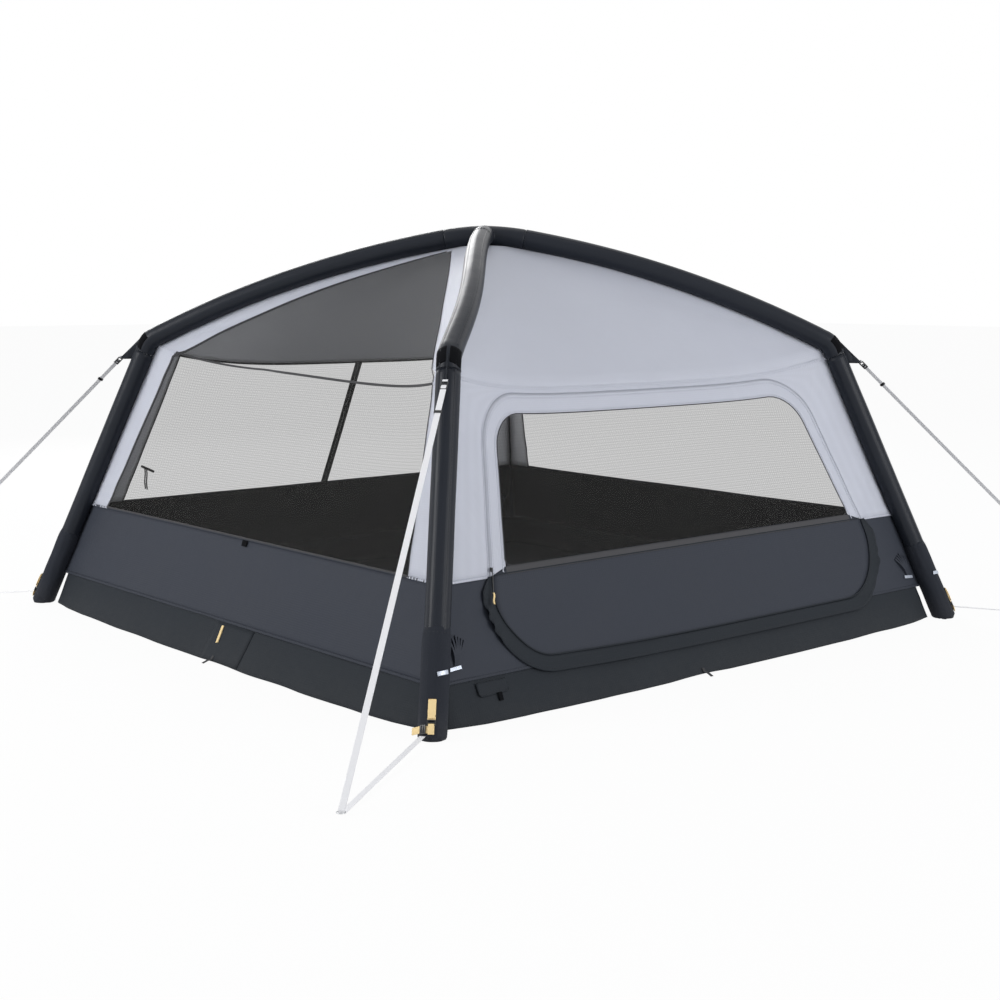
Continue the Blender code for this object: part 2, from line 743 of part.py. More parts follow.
def make_walls():
    top = crease().y - PIECE_GAP
    below_sill = wall_stations(BASE_HEIGHT, SILL_HEIGHT, 1)
    over_boot = [wall_station(BOOT_HEIGHT), wall_station(BOOT_HEIGHT + CLOTH)]
    sill_rows = [wall_station(BASE_HEIGHT), *over_boot, wall_station(SILL_HEIGHT)]
    wall = wall_stations(SILL_HEIGHT + PIECE_GAP, top, WALL_ROWS)
    roof = roof_stations(PIECE_GAP)
    whole = wall[:-1] + roof_stations(0)
    door_hole = wall_cutter("cut_door_hole", door_outline(-DOOR_GAP), "front")
    door_shape = wall_cutter("cut_door_shape", door_outline(), "front")
    border_shape = wall_cutter("cut_border_shape", door_outline(), "front", [window_outline(0)])
    window_shape = wall_cutter("cut_window_shape", window_outline(PIECE_GAP), "front")

    for side in SIDES:
        cuts = [door_hole] if side == "front" else []
        cloth("sill_" + side, skin_mesh(sill_rows), "sill_fabric", side, cuts)
        cloth("skirt_" + side, skirt_mesh(), "skirt_fabric", side)

    cloth("roof_front", skin_mesh(roof), "wall_fabric", "front")
    cloth("wall_front", skin_mesh(wall), "wall_fabric", "front", [door_hole])
    door = [
        cloth("door_border", skin_mesh(wall), "wall_fabric", "front", keep=border_shape),
        cloth("door_window_mesh", skin_mesh(wall), "mesh_fabric", "front", keep=window_shape),
        cloth("door_lower_panel", skin_mesh(below_sill), "sill_fabric", "front", keep=door_shape),
    ]
    for panel in door:
        side_edge = door_half(DOOR_HINGE_HEIGHT)
        move_origin(panel, hinge_spot(side_edge, DOOR_HINGE_HEIGHT, HINGE_STANDOFF))

    left_hole = wall_cutter("cut_left_hole", left_opening(0, CUT_OVERRUN), "left")
    left_shape = wall_cutter("cut_left_shape", left_opening(PIECE_GAP, CUT_OVERRUN), "left")
    cloth("left_border", skin_mesh(whole), "wall_fabric", "left", [left_hole])
    cloth("left_mesh", skin_mesh(whole), "mesh_fabric", "left", keep=left_shape)

    right_hole = wall_cutter("cut_right_hole", wall_opening(0, CUT_OVERRUN), "right")
    right_shape = wall_cutter("cut_right_shape", wall_opening(PIECE_GAP, CUT_OVERRUN), "right")
    cloth("right_canopy", skin_mesh(whole), "wall_fabric", "right", [right_hole])
    cloth("right_mesh", skin_mesh(wall), "mesh_fabric", "right", keep=right_shape)

    back_hole = wall_cutter("cut_back_hole", wall_opening(0, CUT_OVERRUN), "back")
    cloth("back_canopy", skin_mesh(whole), "wall_fabric", "back", [back_hole])
    for name, ends in (("right", {"right": -LEAF_GAP / 2}), ("left", {"left": LEAF_GAP / 2})):
        leaf_outline = wall_opening(PIECE_GAP, free_gap=DOOR_GAP, **ends)
        shape = wall_cutter("cut_leaf_" + name, leaf_outline, "back")
        leaf = cloth("back_leaf_" + name, skin_mesh(wall), "mesh_fabric", "back", keep=shape)
        hinge = opening_half(LEAF_HINGE_HEIGHT, PIECE_GAP)
        side_edge = -hinge if name == "right" else hinge
        move_origin(leaf, hinge_spot(side_edge, LEAF_HINGE_HEIGHT, LEAF_STANDOFF))


def skirt_mesh():
    """A mud skirt that flares from the base seam to just over the ground."""
    top = wall_station(BASE_HEIGHT - CLOTH)
    half, height = leg_point(HEM_LIFT, -CORNER_OFFSET).x / ROOT2, HEM_LIFT
    low = (half, height, -SKIRT_FLARE, 0.0)
    return skin_mesh([low, (top[0], top[1], 0.0, 0.0)])


def make_groundsheet():
    """A tray: flat on the ground, turned up to the base seam."""
    rim = wall_station(BASE_HEIGHT - CLOTH)[0] - PIECE_GAP
    corners = [(-rim, -rim), (rim, -rim), (rim, rim), (-rim, rim)]
    work = bmesh.new()
    floor = [work.verts.new((x, y, FLOOR_LIFT)) for x, y in corners]
    upper = [work.verts.new((x, y, BASE_HEIGHT - PIECE_GAP)) for x, y in corners]
    work.faces.new(reversed(floor))
    for index in range(len(floor)):
        following = (index + 1) % len(floor)
        work.faces.new((floor[index], floor[following], upper[following], upper[index]))
    mesh = bpy.data.meshes.new("tray")
    work.to_mesh(mesh)
    work.free()
    sheet = place("groundsheet", mesh, "floor_fabric")
    solidify(sheet, CLOTH, -1)
    for leg in LEGS:
        boolean(sheet, bpy.data.objects["cut_round_boot_" + leg])


def gusset_tip():
    """Where the guy pulls: out from the shoulder and below it."""
    reach = (SHOULDER_HALF_WIDTH + GUSSET_TIP_WIDTH) * ROOT2
    return Vector((reach, SHOULDER_HEIGHT - GUSSET_TIP_DROP))


def gusset_outline():
    """The triangle of webbed cloth outside a shoulder, with a hollow lower edge."""
    tip = gusset_tip()
    root = (SHOULDER_HALF_WIDTH * ROOT2, SHOULDER_HEIGHT + GUSSET_TOP_RISE)
    foot = leg_point(SHOULDER_HEIGHT - GUSSET_FOOT_DROP)
    hollow = ((foot.x + tip[0] * 3) / 4, (foot.y + tip[1] * 3) / 4 + GUSSET_THICKNESS)
    return [(foot.x, foot.y), (foot.x + TUBE_RADIUS, foot.y), hollow, tip, root]


def make_gussets():
    for leg, turn in LEGS.items():
        gusset = place(
            "guy_gusset_" + leg, plate_mesh(gusset_outline(), GUSSET_THICKNESS), "sleeve_fabric", turn
        )
        boolean(gusset, bpy.data.objects["cut_arch_" + leg])


def ground_point(leg):
    """Where a guy meets the ground, in the leg's own turned frame."""
    if leg != "front_left":
        return Vector((GUY_GROUND_HALF * ROOT2, 0, STRAP_GROUND_LIFT))
    turned = Matrix.Rotation(-math.radians(LEGS[leg]), 3, "Z")
    return turned @ Vector((-FRONT_GUY_GROUND_X, -FRONT_GUY_GROUND_Y, STRAP_GROUND_LIFT))


def aim(start, end):
    """A frame at start whose X axis runs to end, with Y level."""
    along = (end - start).normalized()
    across = Vector((0, 0, 1)).cross(along).normalized()
    normal = along.cross(across)
    matrix = Matrix((along, across, normal)).transposed().to_4x4()
    return Matrix.Translation(start) @ matrix


def guy_frame(leg):
    tip = Vector(standing(gusset_tip()))
    return aim(tip, ground_point(leg)), (ground_point(leg) - tip).length


def anchor_face():
    """Height of the anchor's buckle over the boot."""
    return ANCHOR_BUCKLE_DEPTH + ANCHOR_THICKNESS / 3


def anchor_point(leg):
    """Where the return strap's square end just meets the webbing buckle on the boot."""
    frame = anchor_frame()
    face = frame @ Vector((ANCHOR_BUCKLE_HEIGHT, 0, anchor_face() + PIECE_GAP))
    outward = frame.to_3x3() @ Vector((0, 0, 1))
    strap = aim(ground_point(leg), face).to_3x3()
    across = abs(outward.dot(strap @ Vector((0, 1, 0)))) * STRAP_WIDTH / 2
    through = abs(outward.dot(strap @ Vector((0, 0, 1)))) * STRAP_THICKNESS / 2
    return face + outward * (across + through)


def run_box(start, end, width, thickness):
    """A flat bar between two points."""
    length = (end - start).length
    return box_mesh((length, width, thickness), (length / 2, 0, 0), aim(start, end))


def make_guys():
    """Buckle at the gusset, strap to the ground and back to the boot, slider on the strap."""
    for leg, turn in LEGS.items():
        frame, length = guy_frame(leg)
        buckle_end = GUY_BUCKLE_START + GUY_BUCKLE_LENGTH
        start = frame @ Vector((buckle_end + PIECE_GAP, 0, 0))
        ground = ground_point(leg)
        strap = place(
            "guy_strap_" + leg, run_box(start, ground, STRAP_WIDTH, STRAP_THICKNESS), "guy_webbing", turn
        )
        back = place(
            "cut_guy_return_" + leg,
            run_box(ground, anchor_point(leg), STRAP_WIDTH, STRAP_THICKNESS),
            turn=turn,
        )
        boolean(strap, back, "UNION")
        eyelet = tube_mesh(
            [ground - Vector((0, 0, EYELET_DEPTH)), ground + Vector((0, 0, EYELET_DEPTH))],
            EYELET_RADIUS,
            12,
        )
        boolean(strap, place("cut_eyelet_" + leg, eyelet, turn=turn), "UNION")

        body = box_mesh(
            (GUY_BUCKLE_LENGTH, GUY_BUCKLE_WIDTH, GUY_BUCKLE_DEPTH),
            (GUY_BUCKLE_START + GUY_BUCKLE_LENGTH / 2, 0, 0),
            frame,
        )
        buckle = place("guy_buckle_" + leg, body, "black_plastic", turn)
        for index, centre in enumerate(slot_centres(GUY_BUCKLE_START, GUY_BUCKLE_LENGTH)):
            slot = box_mesh(
                (BUCKLE_SLOT_LENGTH, GUY_BUCKLE_WIDTH - BUCKLE_BAR * 2, GUY_BUCKLE_DEPTH * 2),
                (centre, 0, 0),
                frame,
            )
            boolean(buckle, place(f"cut_buckle_{index}_{leg}", slot, turn=turn))

        ring = box_mesh(
            (SLIDER_LENGTH, SLIDER_WIDTH, SLIDER_DEPTH), (SLIDER_START + SLIDER_LENGTH / 2, 0, 0), frame
        )
        slider = place("guy_slider_" + leg, ring, "black_plastic", turn)
        hole = box_mesh(
            (SLIDER_LENGTH * 2, STRAP_WIDTH + SLIDER_CLEARANCE * 2, STRAP_THICKNESS + SLIDER_CLEARANCE * 2),
            (SLIDER_START + SLIDER_LENGTH / 2, 0, 0),
            frame,
        )
        boolean(slider, place("cut_slider_" + leg, hole, turn=turn))


def slot_centres(start, length):
    """Two slots shared evenly along a buckle."""
    return [start + length * share for share in BUCKLE_SLOT_SHARES]


def anchor_frame():
    """A frame on the boot's outer line: X up the leg, Z out of the boot."""
    foot = leg_point(0, BOOT_RADIUS + PIECE_GAP * 2)
    upward = Vector((-math.sin(LEG_LEAN), 0, math.cos(LEG_LEAN)))
    outward = Vector((math.cos(LEG_LEAN), 0, math.sin(LEG_LEAN)))
    matrix = Matrix((upward, outward.cross(upward), outward)).transposed().to_4x4()
    return Matrix.Translation((foot.x, 0, foot.y)) @ matrix


def make_anchors():
    """Webbing on the boot's outer line with a side tab, and a ladder buckle on it."""
    half = ANCHOR_WIDTH / 2
    middle = ANCHOR_TAB_HEIGHT
    outline = [
        (ANCHOR_BOTTOM, -half),
        (middle - half, -half),
        (middle - half, -ANCHOR_TAB),
        (middle + half, -ANCHOR_TAB),
        (middle + half, -half),
        (ANCHOR_TOP, -half),
        (ANCHOR_TOP, half),
        (ANCHOR_BOTTOM, half),
    ]
    upright = Matrix.Rotation(-math.radians(90), 4, "X")
    lift = Matrix.Translation((0, 0, ANCHOR_THICKNESS / 2))
    for leg, turn in LEGS.items():
        mesh = plate_mesh([(along, -across) for along, across in outline], ANCHOR_THICKNESS)
        mesh.transform(anchor_frame() @ lift @ upright)
        anchor = place("foot_anchor_" + leg, mesh, "orange_webbing", turn)
        size = (ANCHOR_BUCKLE_LENGTH, ANCHOR_WIDTH + BUCKLE_BAR * 2, ANCHOR_BUCKLE_DEPTH)
        middle = (ANCHOR_BUCKLE_HEIGHT, 0, anchor_face() - ANCHOR_BUCKLE_DEPTH / 2)
        block = box_mesh(size, middle, anchor_frame())
        boolean(anchor, place("cut_anchor_buckle_" + leg, block, turn=turn), "UNION")


def valve_frame():
    """A frame on the leg's outer line whose Z axis points out of the sleeve."""
    spot = leg_point(VALVE_HEIGHT)
    outward = Vector((math.cos(LEG_LEAN), 0, math.sin(LEG_LEAN)))
    down = Vector((math.sin(LEG_LEAN), 0, -math.cos(LEG_LEAN)))
    matrix = Matrix((down, outward.cross(down), outward)).transposed().to_4x4()
    return Matrix.Translation((spot.x, 0, spot.y)) @ matrix


def turned_part(name, profile, material, turn, matrix, steps=20):
    """A turned piece from (radius, height) points that run down its outer side."""
    work = bmesh.new()
    line = [work.verts.new((radius, 0, height)) for radius, height in profile]
    for first, second in zip(line, line[1:] + line[:1]):
        work.edges.new((first, second))
    mesh = bpy.data.meshes.new(name)
    work.to_mesh(mesh)
    work.free()
    item = place(name, mesh, material)
    item.matrix_world = Matrix.Rotation(math.radians(turn), 4, "Z") @ matrix
    screw = item.modifiers.new("turn", "SCREW")
    screw.steps = steps
    screw.render_steps = steps
    screw.use_merge_vertices = True
    screw.merge_threshold = PIECE_GAP / 10
    return item


def make_valve():
    """A flanged valve through sleeve and bladder, with a screw cap over its neck."""
    turn = LEGS["back_right"]
    face = TUBE_RADIUS + PIECE_GAP
    neck = face + VALVE_FLANGE_THICKNESS
    top = neck + VALVE_NECK_HEIGHT
    tail = TUBE_RADIUS - SLEEVE_WALL - BLADDER_GAP - BLADDER_WALL - VALVE_TAIL
    profile = [
        (VALVE_BORE_RADIUS, top),
        (VALVE_TUBE_RADIUS, top),
        (VALVE_TUBE_RADIUS, neck),
        (VALVE_FLANGE_RADIUS, neck),
        (VALVE_FLANGE_RADIUS, face),
        (VALVE_TUBE_RADIUS, face),
        (VALVE_TUBE_RADIUS, tail),
        (VALVE_BORE_RADIUS, tail),
    ]
    turned_part("valve_body", profile, "black_plastic", turn, valve_frame())
    inside = VALVE_TUBE_RADIUS + CAP_GAP
    rim = neck + CAP_GAP
    lid = top + CAP_GAP
    lobes = []
    for index in range(CAP_LOBES * 2):
        angle = math.pi * index / CAP_LOBES
        radius = CAP_RADIUS - CAP_LOBE_DEPTH * (index % 2)
        lobes.append((radius * math.cos(angle), radius * math.sin(angle)))
    height = lid + CAP_TOP - rim
    shape = plate_mesh(lobes, height)
    upright = Matrix.Rotation(-math.radians(90), 4, "X")
    cap = place("valve_cap", shape, "black_plastic")
    shape.transform(Matrix.Translation((0, 0, rim + height / 2)) @ upright)
    cap.matrix_world = Matrix.Rotation(math.radians(turn), 4, "Z") @ valve_frame()
    bore = [(inside, lid), (inside, rim - CAP_DEPTH), (0, rim - CAP_DEPTH), (0, lid)]
    boolean(cap, turned_part("cut_cap_bore", bore, None, turn, valve_frame()))


def make_valve_cutter():
    """The hole that the valve's tube passes through."""
    turn = LEGS["back_right"]
    radius = VALVE_TUBE_RADIUS + PIECE_GAP
    low = TUBE_RADIUS - CUT_OVERRUN / 2
    high = TUBE_RADIUS + CUT_OVERRUN
    profile = [(0, high), (radius, high), (radius, low), (0, low)]
    return turned_part("cut_valve_hole", profile, None, turn, valve_frame())


def surface_frame(across, height, side_turn):
    """A frame on a wall at (across, height): X across, Y into the tent, Z up the cloth."""
    station = wall_station(height)
    share = across / station[0]
    step = PIECE_GAP * 10
    here = Vector(skin_point(share, station))
    above = Vector(skin_point(share, wall_station(height + step)))
    beside = Vector(skin_point(share + step, station))
    up = (above - here).normalized()
    right = (beside - here).normalized()
    inward = up.cross(right).normalized()
    up = right.cross(inward).normalized()
    matrix = Matrix((right, inward, up)).transposed().to_4x4()
    return Matrix.Rotation(math.radians(side_turn), 4, "Z") @ Matrix.Translation(here) @ matrix


def make_zip_slider(name, across, height, side, edge_slant=0.0):
    """A slider body on the cloth with its pull tab hanging from it."""
    lift = CLOTH + ZIP_CLEARANCE
    body = box_mesh(
        (ZIP_SLIDER_WIDTH, ZIP_SLIDER_DEPTH, ZIP_SLIDER_LENGTH), (0, -lift - ZIP_SLIDER_DEPTH / 2, 0)
    )
    slider = place(name, body, "black_plastic")
    slant = Matrix.Rotation(edge_slant, 4, "Y")
    slider.matrix_world = surface_frame(across, height, SIDES[side]) @ slant
    centre = ZIP_PULL_DEPTH / 2 - lift - ZIP_SLIDER_DEPTH
    pull = box_mesh(
        (ZIP_PULL_WIDTH, ZIP_PULL_DEPTH, ZIP_PULL_LENGTH), (0, centre, -ZIP_PULL_LENGTH / 2)
    )
    tab = place("cut_pull_" + name, pull)
    tab.matrix_world = slider.matrix_world
    boolean(slider, tab, "UNION")


def make_cable_flap():
    """A small flap on the front skirt that covers the cable entry."""
    top = wall_station(BASE_HEIGHT)
    foot = leg_point(HEM_LIFT, -CORNER_OFFSET).x / ROOT2
    share = FLAP_CENTRE_OFFSET / top[0]
    fade = 1 - share**SAG_POWER
    high = Vector((0, -top[0], BASE_HEIGHT))
    low = Vector((0, -(foot + SKIRT_FLARE * fade), HEM_LIFT))
    down = (low - high).normalized()
    out = Vector((0, -abs(down.z), abs(down.y)))
    start = high + down * (BASE_HEIGHT - FLAP_TOP) + out * (CLOTH + PIECE_GAP * 2)
    corners = [
        (-FLAP_WIDTH / 2, -FLAP_DROP),
        (FLAP_WIDTH / 2, -FLAP_DROP),
        (FLAP_WIDTH / 2, 0),
        (-FLAP_WIDTH / 2, 0),
    ]
    outline = rounded(corners, [FLAP_ROUND, FLAP_ROUND, 0, 0], 3)
    mesh = plate_mesh(outline, FLAP_THICKNESS)
    mesh.transform(Matrix.Translation((0, -FLAP_THICKNESS / 2, 0)))
    flap = place("cable_flap", mesh, "skirt_fabric")
    matrix = Matrix((Vector((1, 0, 0)), -out, -down)).transposed().to_4x4()
    flap.matrix_world = Matrix.Translation((-FLAP_CENTRE_OFFSET, start.y, start.z)) @ matrix


FRAME_LINE = half_arch(-CUT_OVERRUN)
VALVE_CUTTER = make_valve_cutter()
make_frame_cutters()
make_sleeves()
make_hub()
make_bladder()
make_boots()
make_walls()
make_groundsheet()
make_gussets()
make_guys()
make_anchors()
make_valve()
make_zip_slider(
    "door_zip_slider", -door_half(DOOR_ZIP_HEIGHT, -DOOR_ZIP_OFFSET), DOOR_ZIP_HEIGHT, "front",
    math.atan(DOOR_TAPER_SHARE),
)
make_zip_slider("back_zip_slider", 0, BACK_ZIP_HEIGHT, "back")
make_cable_flap()
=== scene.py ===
"""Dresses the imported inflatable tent: cloth walls, mesh, door, sleeves, boots, skirts and guys.

Metres, +Z up. The door wall faces -Y. Each wall is worked out as the front wall and turned to its side.
"""

import math

import bmesh
import bpy
from bpy.props import FloatProperty, FloatVectorProperty, IntProperty, PointerProperty
from mathutils import Matrix, Vector, noise


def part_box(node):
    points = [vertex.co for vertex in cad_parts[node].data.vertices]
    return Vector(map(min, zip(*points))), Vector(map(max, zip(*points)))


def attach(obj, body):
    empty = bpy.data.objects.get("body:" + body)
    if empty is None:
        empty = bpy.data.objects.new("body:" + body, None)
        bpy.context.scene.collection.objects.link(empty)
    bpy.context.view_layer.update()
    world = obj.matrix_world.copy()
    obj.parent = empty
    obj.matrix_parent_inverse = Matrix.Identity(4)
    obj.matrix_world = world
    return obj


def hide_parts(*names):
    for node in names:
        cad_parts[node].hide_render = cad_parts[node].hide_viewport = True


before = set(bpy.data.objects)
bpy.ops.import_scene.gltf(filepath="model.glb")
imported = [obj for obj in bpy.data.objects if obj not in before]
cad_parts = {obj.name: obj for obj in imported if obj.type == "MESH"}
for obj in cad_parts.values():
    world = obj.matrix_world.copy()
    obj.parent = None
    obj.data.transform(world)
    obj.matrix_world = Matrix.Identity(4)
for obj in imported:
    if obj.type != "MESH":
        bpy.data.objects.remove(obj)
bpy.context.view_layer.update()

bl_info = {
    "name": "Inflatable tent",
    "version": (1, 0, 0),
    "blender": (4, 5, 0),
    "location": "3D View > Sidebar > Tent",
    "description": "Builds the cloth, webbing and fittings of an inflatable tent on its packed frame",
    "category": "Object",
}

# Air frame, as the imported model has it
FOOT_HALF = 1.65
SHOULDER_HALF = 1.217
SHOULDER_HEIGHT = 1.373
SHOULDER_SLOPE = math.radians(27)
HUB_SLOPE = math.radians(10)
HUB_REACH = 0.20
BEND_RADIUS = 0.10
TUBE_RADIUS = 0.05
SLEEVE_SEAM_DROP = 0.03
PIECE_GAP = 0.0003
ARM_BOW = 0.035
ARM_BOW_POWER = 0.66
BOOT_WALL = 0.0045
BOOT_HEIGHT = 0.40
SLEEVE_LIFT = 0.0015

# Walls and roof
CORNER_OFFSET = 0.043
BASE_HEIGHT = 0.165
SILL_HEIGHT = 0.52
SILL_SAG = 0.010
SEAM_SAG = 0.12
SEAM_DIP = 0.095
SEAM_HEM = 0.012
FRONT_SEAM_LEVEL = 1.95
SAG_POWER = 4
ROOF_END_HALF = 0.085
HEM_LIFT = 0.004
SKIRT_FLARE = 0.055
ROOF_ROWS = 24

# Door and window, in elevation
DOOR_HALF = 1.192
DOOR_TAPER_SHARE = 0.275
DOOR_TOP = 1.195
DOOR_BOTTOM = 0.173
DOOR_RADIUS = 0.25
WINDOW_BORDER = 0.075
WINDOW_BOTTOM = 0.55

# Strips beside the mesh walls
STRIP_WIDTHS = (0.205, 0.150, 0.085)
FRONT_STRIP_WIDTHS = (0.244, 0.195, 0.240)

# Guys
GUSSET_TIP_HALF = 1.325
GUSSET_TIP_HEIGHT = 1.282
GUSSET_TOP_RISE = 0.055
GUSSET_FOOT_DROP = 0.115
GUY_BUCKLE_START = 0.0008
GUY_BUCKLE_LENGTH = 0.040
SLIDER_START = 0.150
SLIDER_LENGTH = 0.012
STRAP_THICKNESS = 0.0016
GUY_ROLL = {"front_left": 0, "front_right": -38, "back_right": 0, "back_left": 38}

ROOT2 = math.sqrt(2)
LEG_LEAN = math.atan2((FOOT_HALF - SHOULDER_HALF) * ROOT2, SHOULDER_HEIGHT)
BOOT_RADIUS = TUBE_RADIUS + PIECE_GAP + BOOT_WALL
SIDES = {"front": 0, "right": 90, "back": 180, "left": 270}
LEGS = {"front_left": 225, "front_right": 315, "back_right": 45, "back_left": 135}
GUY_GROUND = {
    "front_left": (-2.38, -2.114),
    "front_right": (2.24, -2.24),
    "back_right": (2.24, 2.24),
    "back_left": (-2.24, 2.24),
}
ANCHOR_SPOT = {
    "front_left": (-1.7040, -1.6600, 0.022),
    "front_right": (1.6797, -1.6797, 0.055),
    "back_right": (1.6797, 1.6797, 0.055),
    "back_left": (-1.6797, 1.6797, 0.055),
}

STITCHES = {}
FRAME = "frame"


# Settings that a user may change


class TentColours(bpy.types.PropertyGroup):
    sleeve: FloatVectorProperty(
        name="Sleeve cloth", description="Dark cloth of the air sleeves", subtype="COLOR",
        size=3, min=0, max=1, default=(0.017, 0.020, 0.027),
    )
    canopy: FloatVectorProperty(
        name="Canopy cloth", description="Light cloth of the roof and walls", subtype="COLOR",
        size=3, min=0, max=1, default=(0.546, 0.566, 0.638),
    )
    sill: FloatVectorProperty(
        name="Sill cloth", description="Slate cloth of the lower walls", subtype="COLOR",
        size=3, min=0, max=1, default=(0.036, 0.041, 0.054),
    )


class TentSizes(bpy.types.PropertyGroup):
    tube_sides: IntProperty(
        name="Tube sides", description="Points round an air sleeve", default=40, min=16, max=96
    )
    wall_columns: IntProperty(
        name="Wall columns", description="Points across a wall", default=72, min=24, max=160
    )
    cloth_thickness: FloatProperty(
        name="Cloth thickness", description="Drawn thickness of the cloth", unit="LENGTH",
        default=0.0008, min=0.0002, max=0.003,
    )
    strap_width: FloatProperty(
        name="Strap width", description="Width of the guy webbing", unit="LENGTH", default=0.024,
        min=0.01, max=0.04,
    )
    stitch_pitch: FloatProperty(
        name="Stitch pitch", description="Distance from stitch to stitch, drawn coarse", unit="LENGTH",
        default=0.014, min=0.003, max=0.05,
    )
    tooth_pitch: FloatProperty(
        name="Zip tooth pitch", description="Distance from tooth to tooth, drawn coarse", unit="LENGTH",
        default=0.006, min=0.002, max=0.03,
    )


# Materials


def linear(code):
    """An sRGB hex colour as linear red, green, blue and one for alpha."""
    values = [int(code[index : index + 2], 16) / 255 for index in (0, 2, 4)]
    return [v / 12.92 if v <= 0.04045 else ((v + 0.055) / 1.055) ** 2.4 for v in values] + [1]


def add_node(tree, kind, settings=None, inputs=None, links=None):
    """Adds one node with its settings, input values and incoming links."""
    node = tree.nodes.new(kind)
    for name, value in (settings or {}).items():
        setattr(node, name, value)
    for name, value in (inputs or {}).items():
        node.inputs[name].default_value = value
    for name, socket in (links or {}).items():
        tree.links.new(socket, node.inputs[name])
    return node


def blank_material(name, colour, roughness, **sockets):
    """A Principled material with constants on its own sockets."""
    material = bpy.data.materials.new(name)
    material.use_nodes = True
    shader = material.node_tree.nodes["Principled BSDF"]
    shader.inputs["Base Color"].default_value = colour
    shader.inputs["Roughness"].default_value = roughness
    for socket, value in sockets.items():
        shader.inputs[socket.replace("_", " ")].default_value = value
    material.diffuse_color = colour
    return material, material.node_tree, shader


def woven(name, colour, roughness, pitch, depth, tone=0.05, soil=0.0, **sockets):
    """Plain weave: warp and weft bands that cross, with painted shade a little darker in the weave's hollows, and slow
    changes of tone over the cloth.
    """
    material, tree, shader = blank_material(name, colour, roughness, **sockets)
    place = add_node(tree, "ShaderNodeUVMap", {"uv_map": "cloth"})
    scale = 1 / pitch / 2
    warp = add_node(
        tree, "ShaderNodeTexWave", {"bands_direction": "X"}, {"Scale": scale / 3.14159, "Distortion": 0.4},
        {"Vector": place.outputs["UV"]},
    )
    weft = add_node(
        tree, "ShaderNodeTexWave", {"bands_direction": "Y"}, {"Scale": scale / 3.14159, "Distortion": 0.4},
        {"Vector": place.outputs["UV"]},
    )
    cross = add_node(
        tree, "ShaderNodeMath", {"operation": "MULTIPLY"}, None,
        {0: warp.outputs["Fac"], 1: weft.outputs["Fac"]},
    )
    slow = add_node(
        tree, "ShaderNodeTexNoise", None, {"Scale": 2.2, "Detail": 3.0, "Roughness": 0.6},
        {"Vector": place.outputs["UV"]},
    )
    cloudy = add_node(
        tree, "ShaderNodeMapRange", None,
        {"From Min": 0.3, "From Max": 0.7, "To Min": 1 - tone, "To Max": 1 + tone},
        {"Value": slow.outputs["Fac"]},
    )
    # Painted shade: the raised threads are made slightly lighter and the hollows between them slightly darker
    thread = add_node(
        tree, "ShaderNodeMapRange", None, {"To Min": 0.97, "To Max": 1.03}, {"Value": cross.outputs[0]}
    )
    tones = add_node(
        tree, "ShaderNodeMath", {"operation": "MULTIPLY"}, None,
        {0: cloudy.outputs["Result"], 1: thread.outputs["Result"]},
    )
    tinted = add_node(
        tree, "ShaderNodeVectorMath", {"operation": "SCALE"}, {0: colour[:3]},
        {"Scale": tones.outputs[0]},
    )
    tree.links.new(tinted.outputs["Vector"], shader.inputs["Base Color"])
    if soil:
        spot = add_node(tree, "ShaderNodeTexCoord")
        height = add_node(tree, "ShaderNodeSeparateXYZ", None, None, {0: spot.outputs["Object"]})
        dusty = add_node(
            tree, "ShaderNodeMapRange", None,
            {"From Min": 0.0, "From Max": 0.14, "To Min": soil, "To Max": 0.0}, {"Value": height.outputs["Z"]},
        )
        speckle = add_node(
            tree, "ShaderNodeTexNoise", None, {"Scale": 30.0, "Detail": 4.0}, {"Vector": spot.outputs["Object"]}
        )
        amount = add_node(
            tree, "ShaderNodeMath", {"operation": "MULTIPLY", "use_clamp": True}, None,
            {0: dusty.outputs["Result"], 1: speckle.outputs["Fac"]},
        )
        mixed = add_node(
            tree, "ShaderNodeMix", {"data_type": "RGBA"}, {"B": linear("8d8982")},
            {"Factor": amount.outputs[0], "A": tinted.outputs["Vector"]},
        )
        tree.links.new(mixed.outputs["Result"], shader.inputs["Base Color"])
    bump = add_node(
        tree, "ShaderNodeBump", None, {"Strength": 0.5, "Distance": depth}, {"Height": cross.outputs[0]}
    )
    crumple = add_node(
        tree, "ShaderNodeTexNoise", None, {"Scale": 14.0, "Detail": 4.0, "Roughness": 0.55},
        {"Vector": place.outputs["UV"]},
    )
    creased = add_node(
        tree, "ShaderNodeBump", None, {"Strength": 0.35, "Distance": 0.004},
        {"Height": crumple.outputs["Fac"], "Normal": bump.outputs["Normal"]},
    )
    tree.links.new(creased.outputs["Normal"], shader.inputs["Normal"])
    polish = add_node(
        tree, "ShaderNodeMapRange", None,
        {"From Min": 0.3, "From Max": 0.7, "To Min": roughness - 0.05, "To Max": roughness + 0.05},
        {"Value": slow.outputs["Fac"]},
    )
    tree.links.new(polish.outputs["Result"], shader.inputs["Roughness"])
    return material


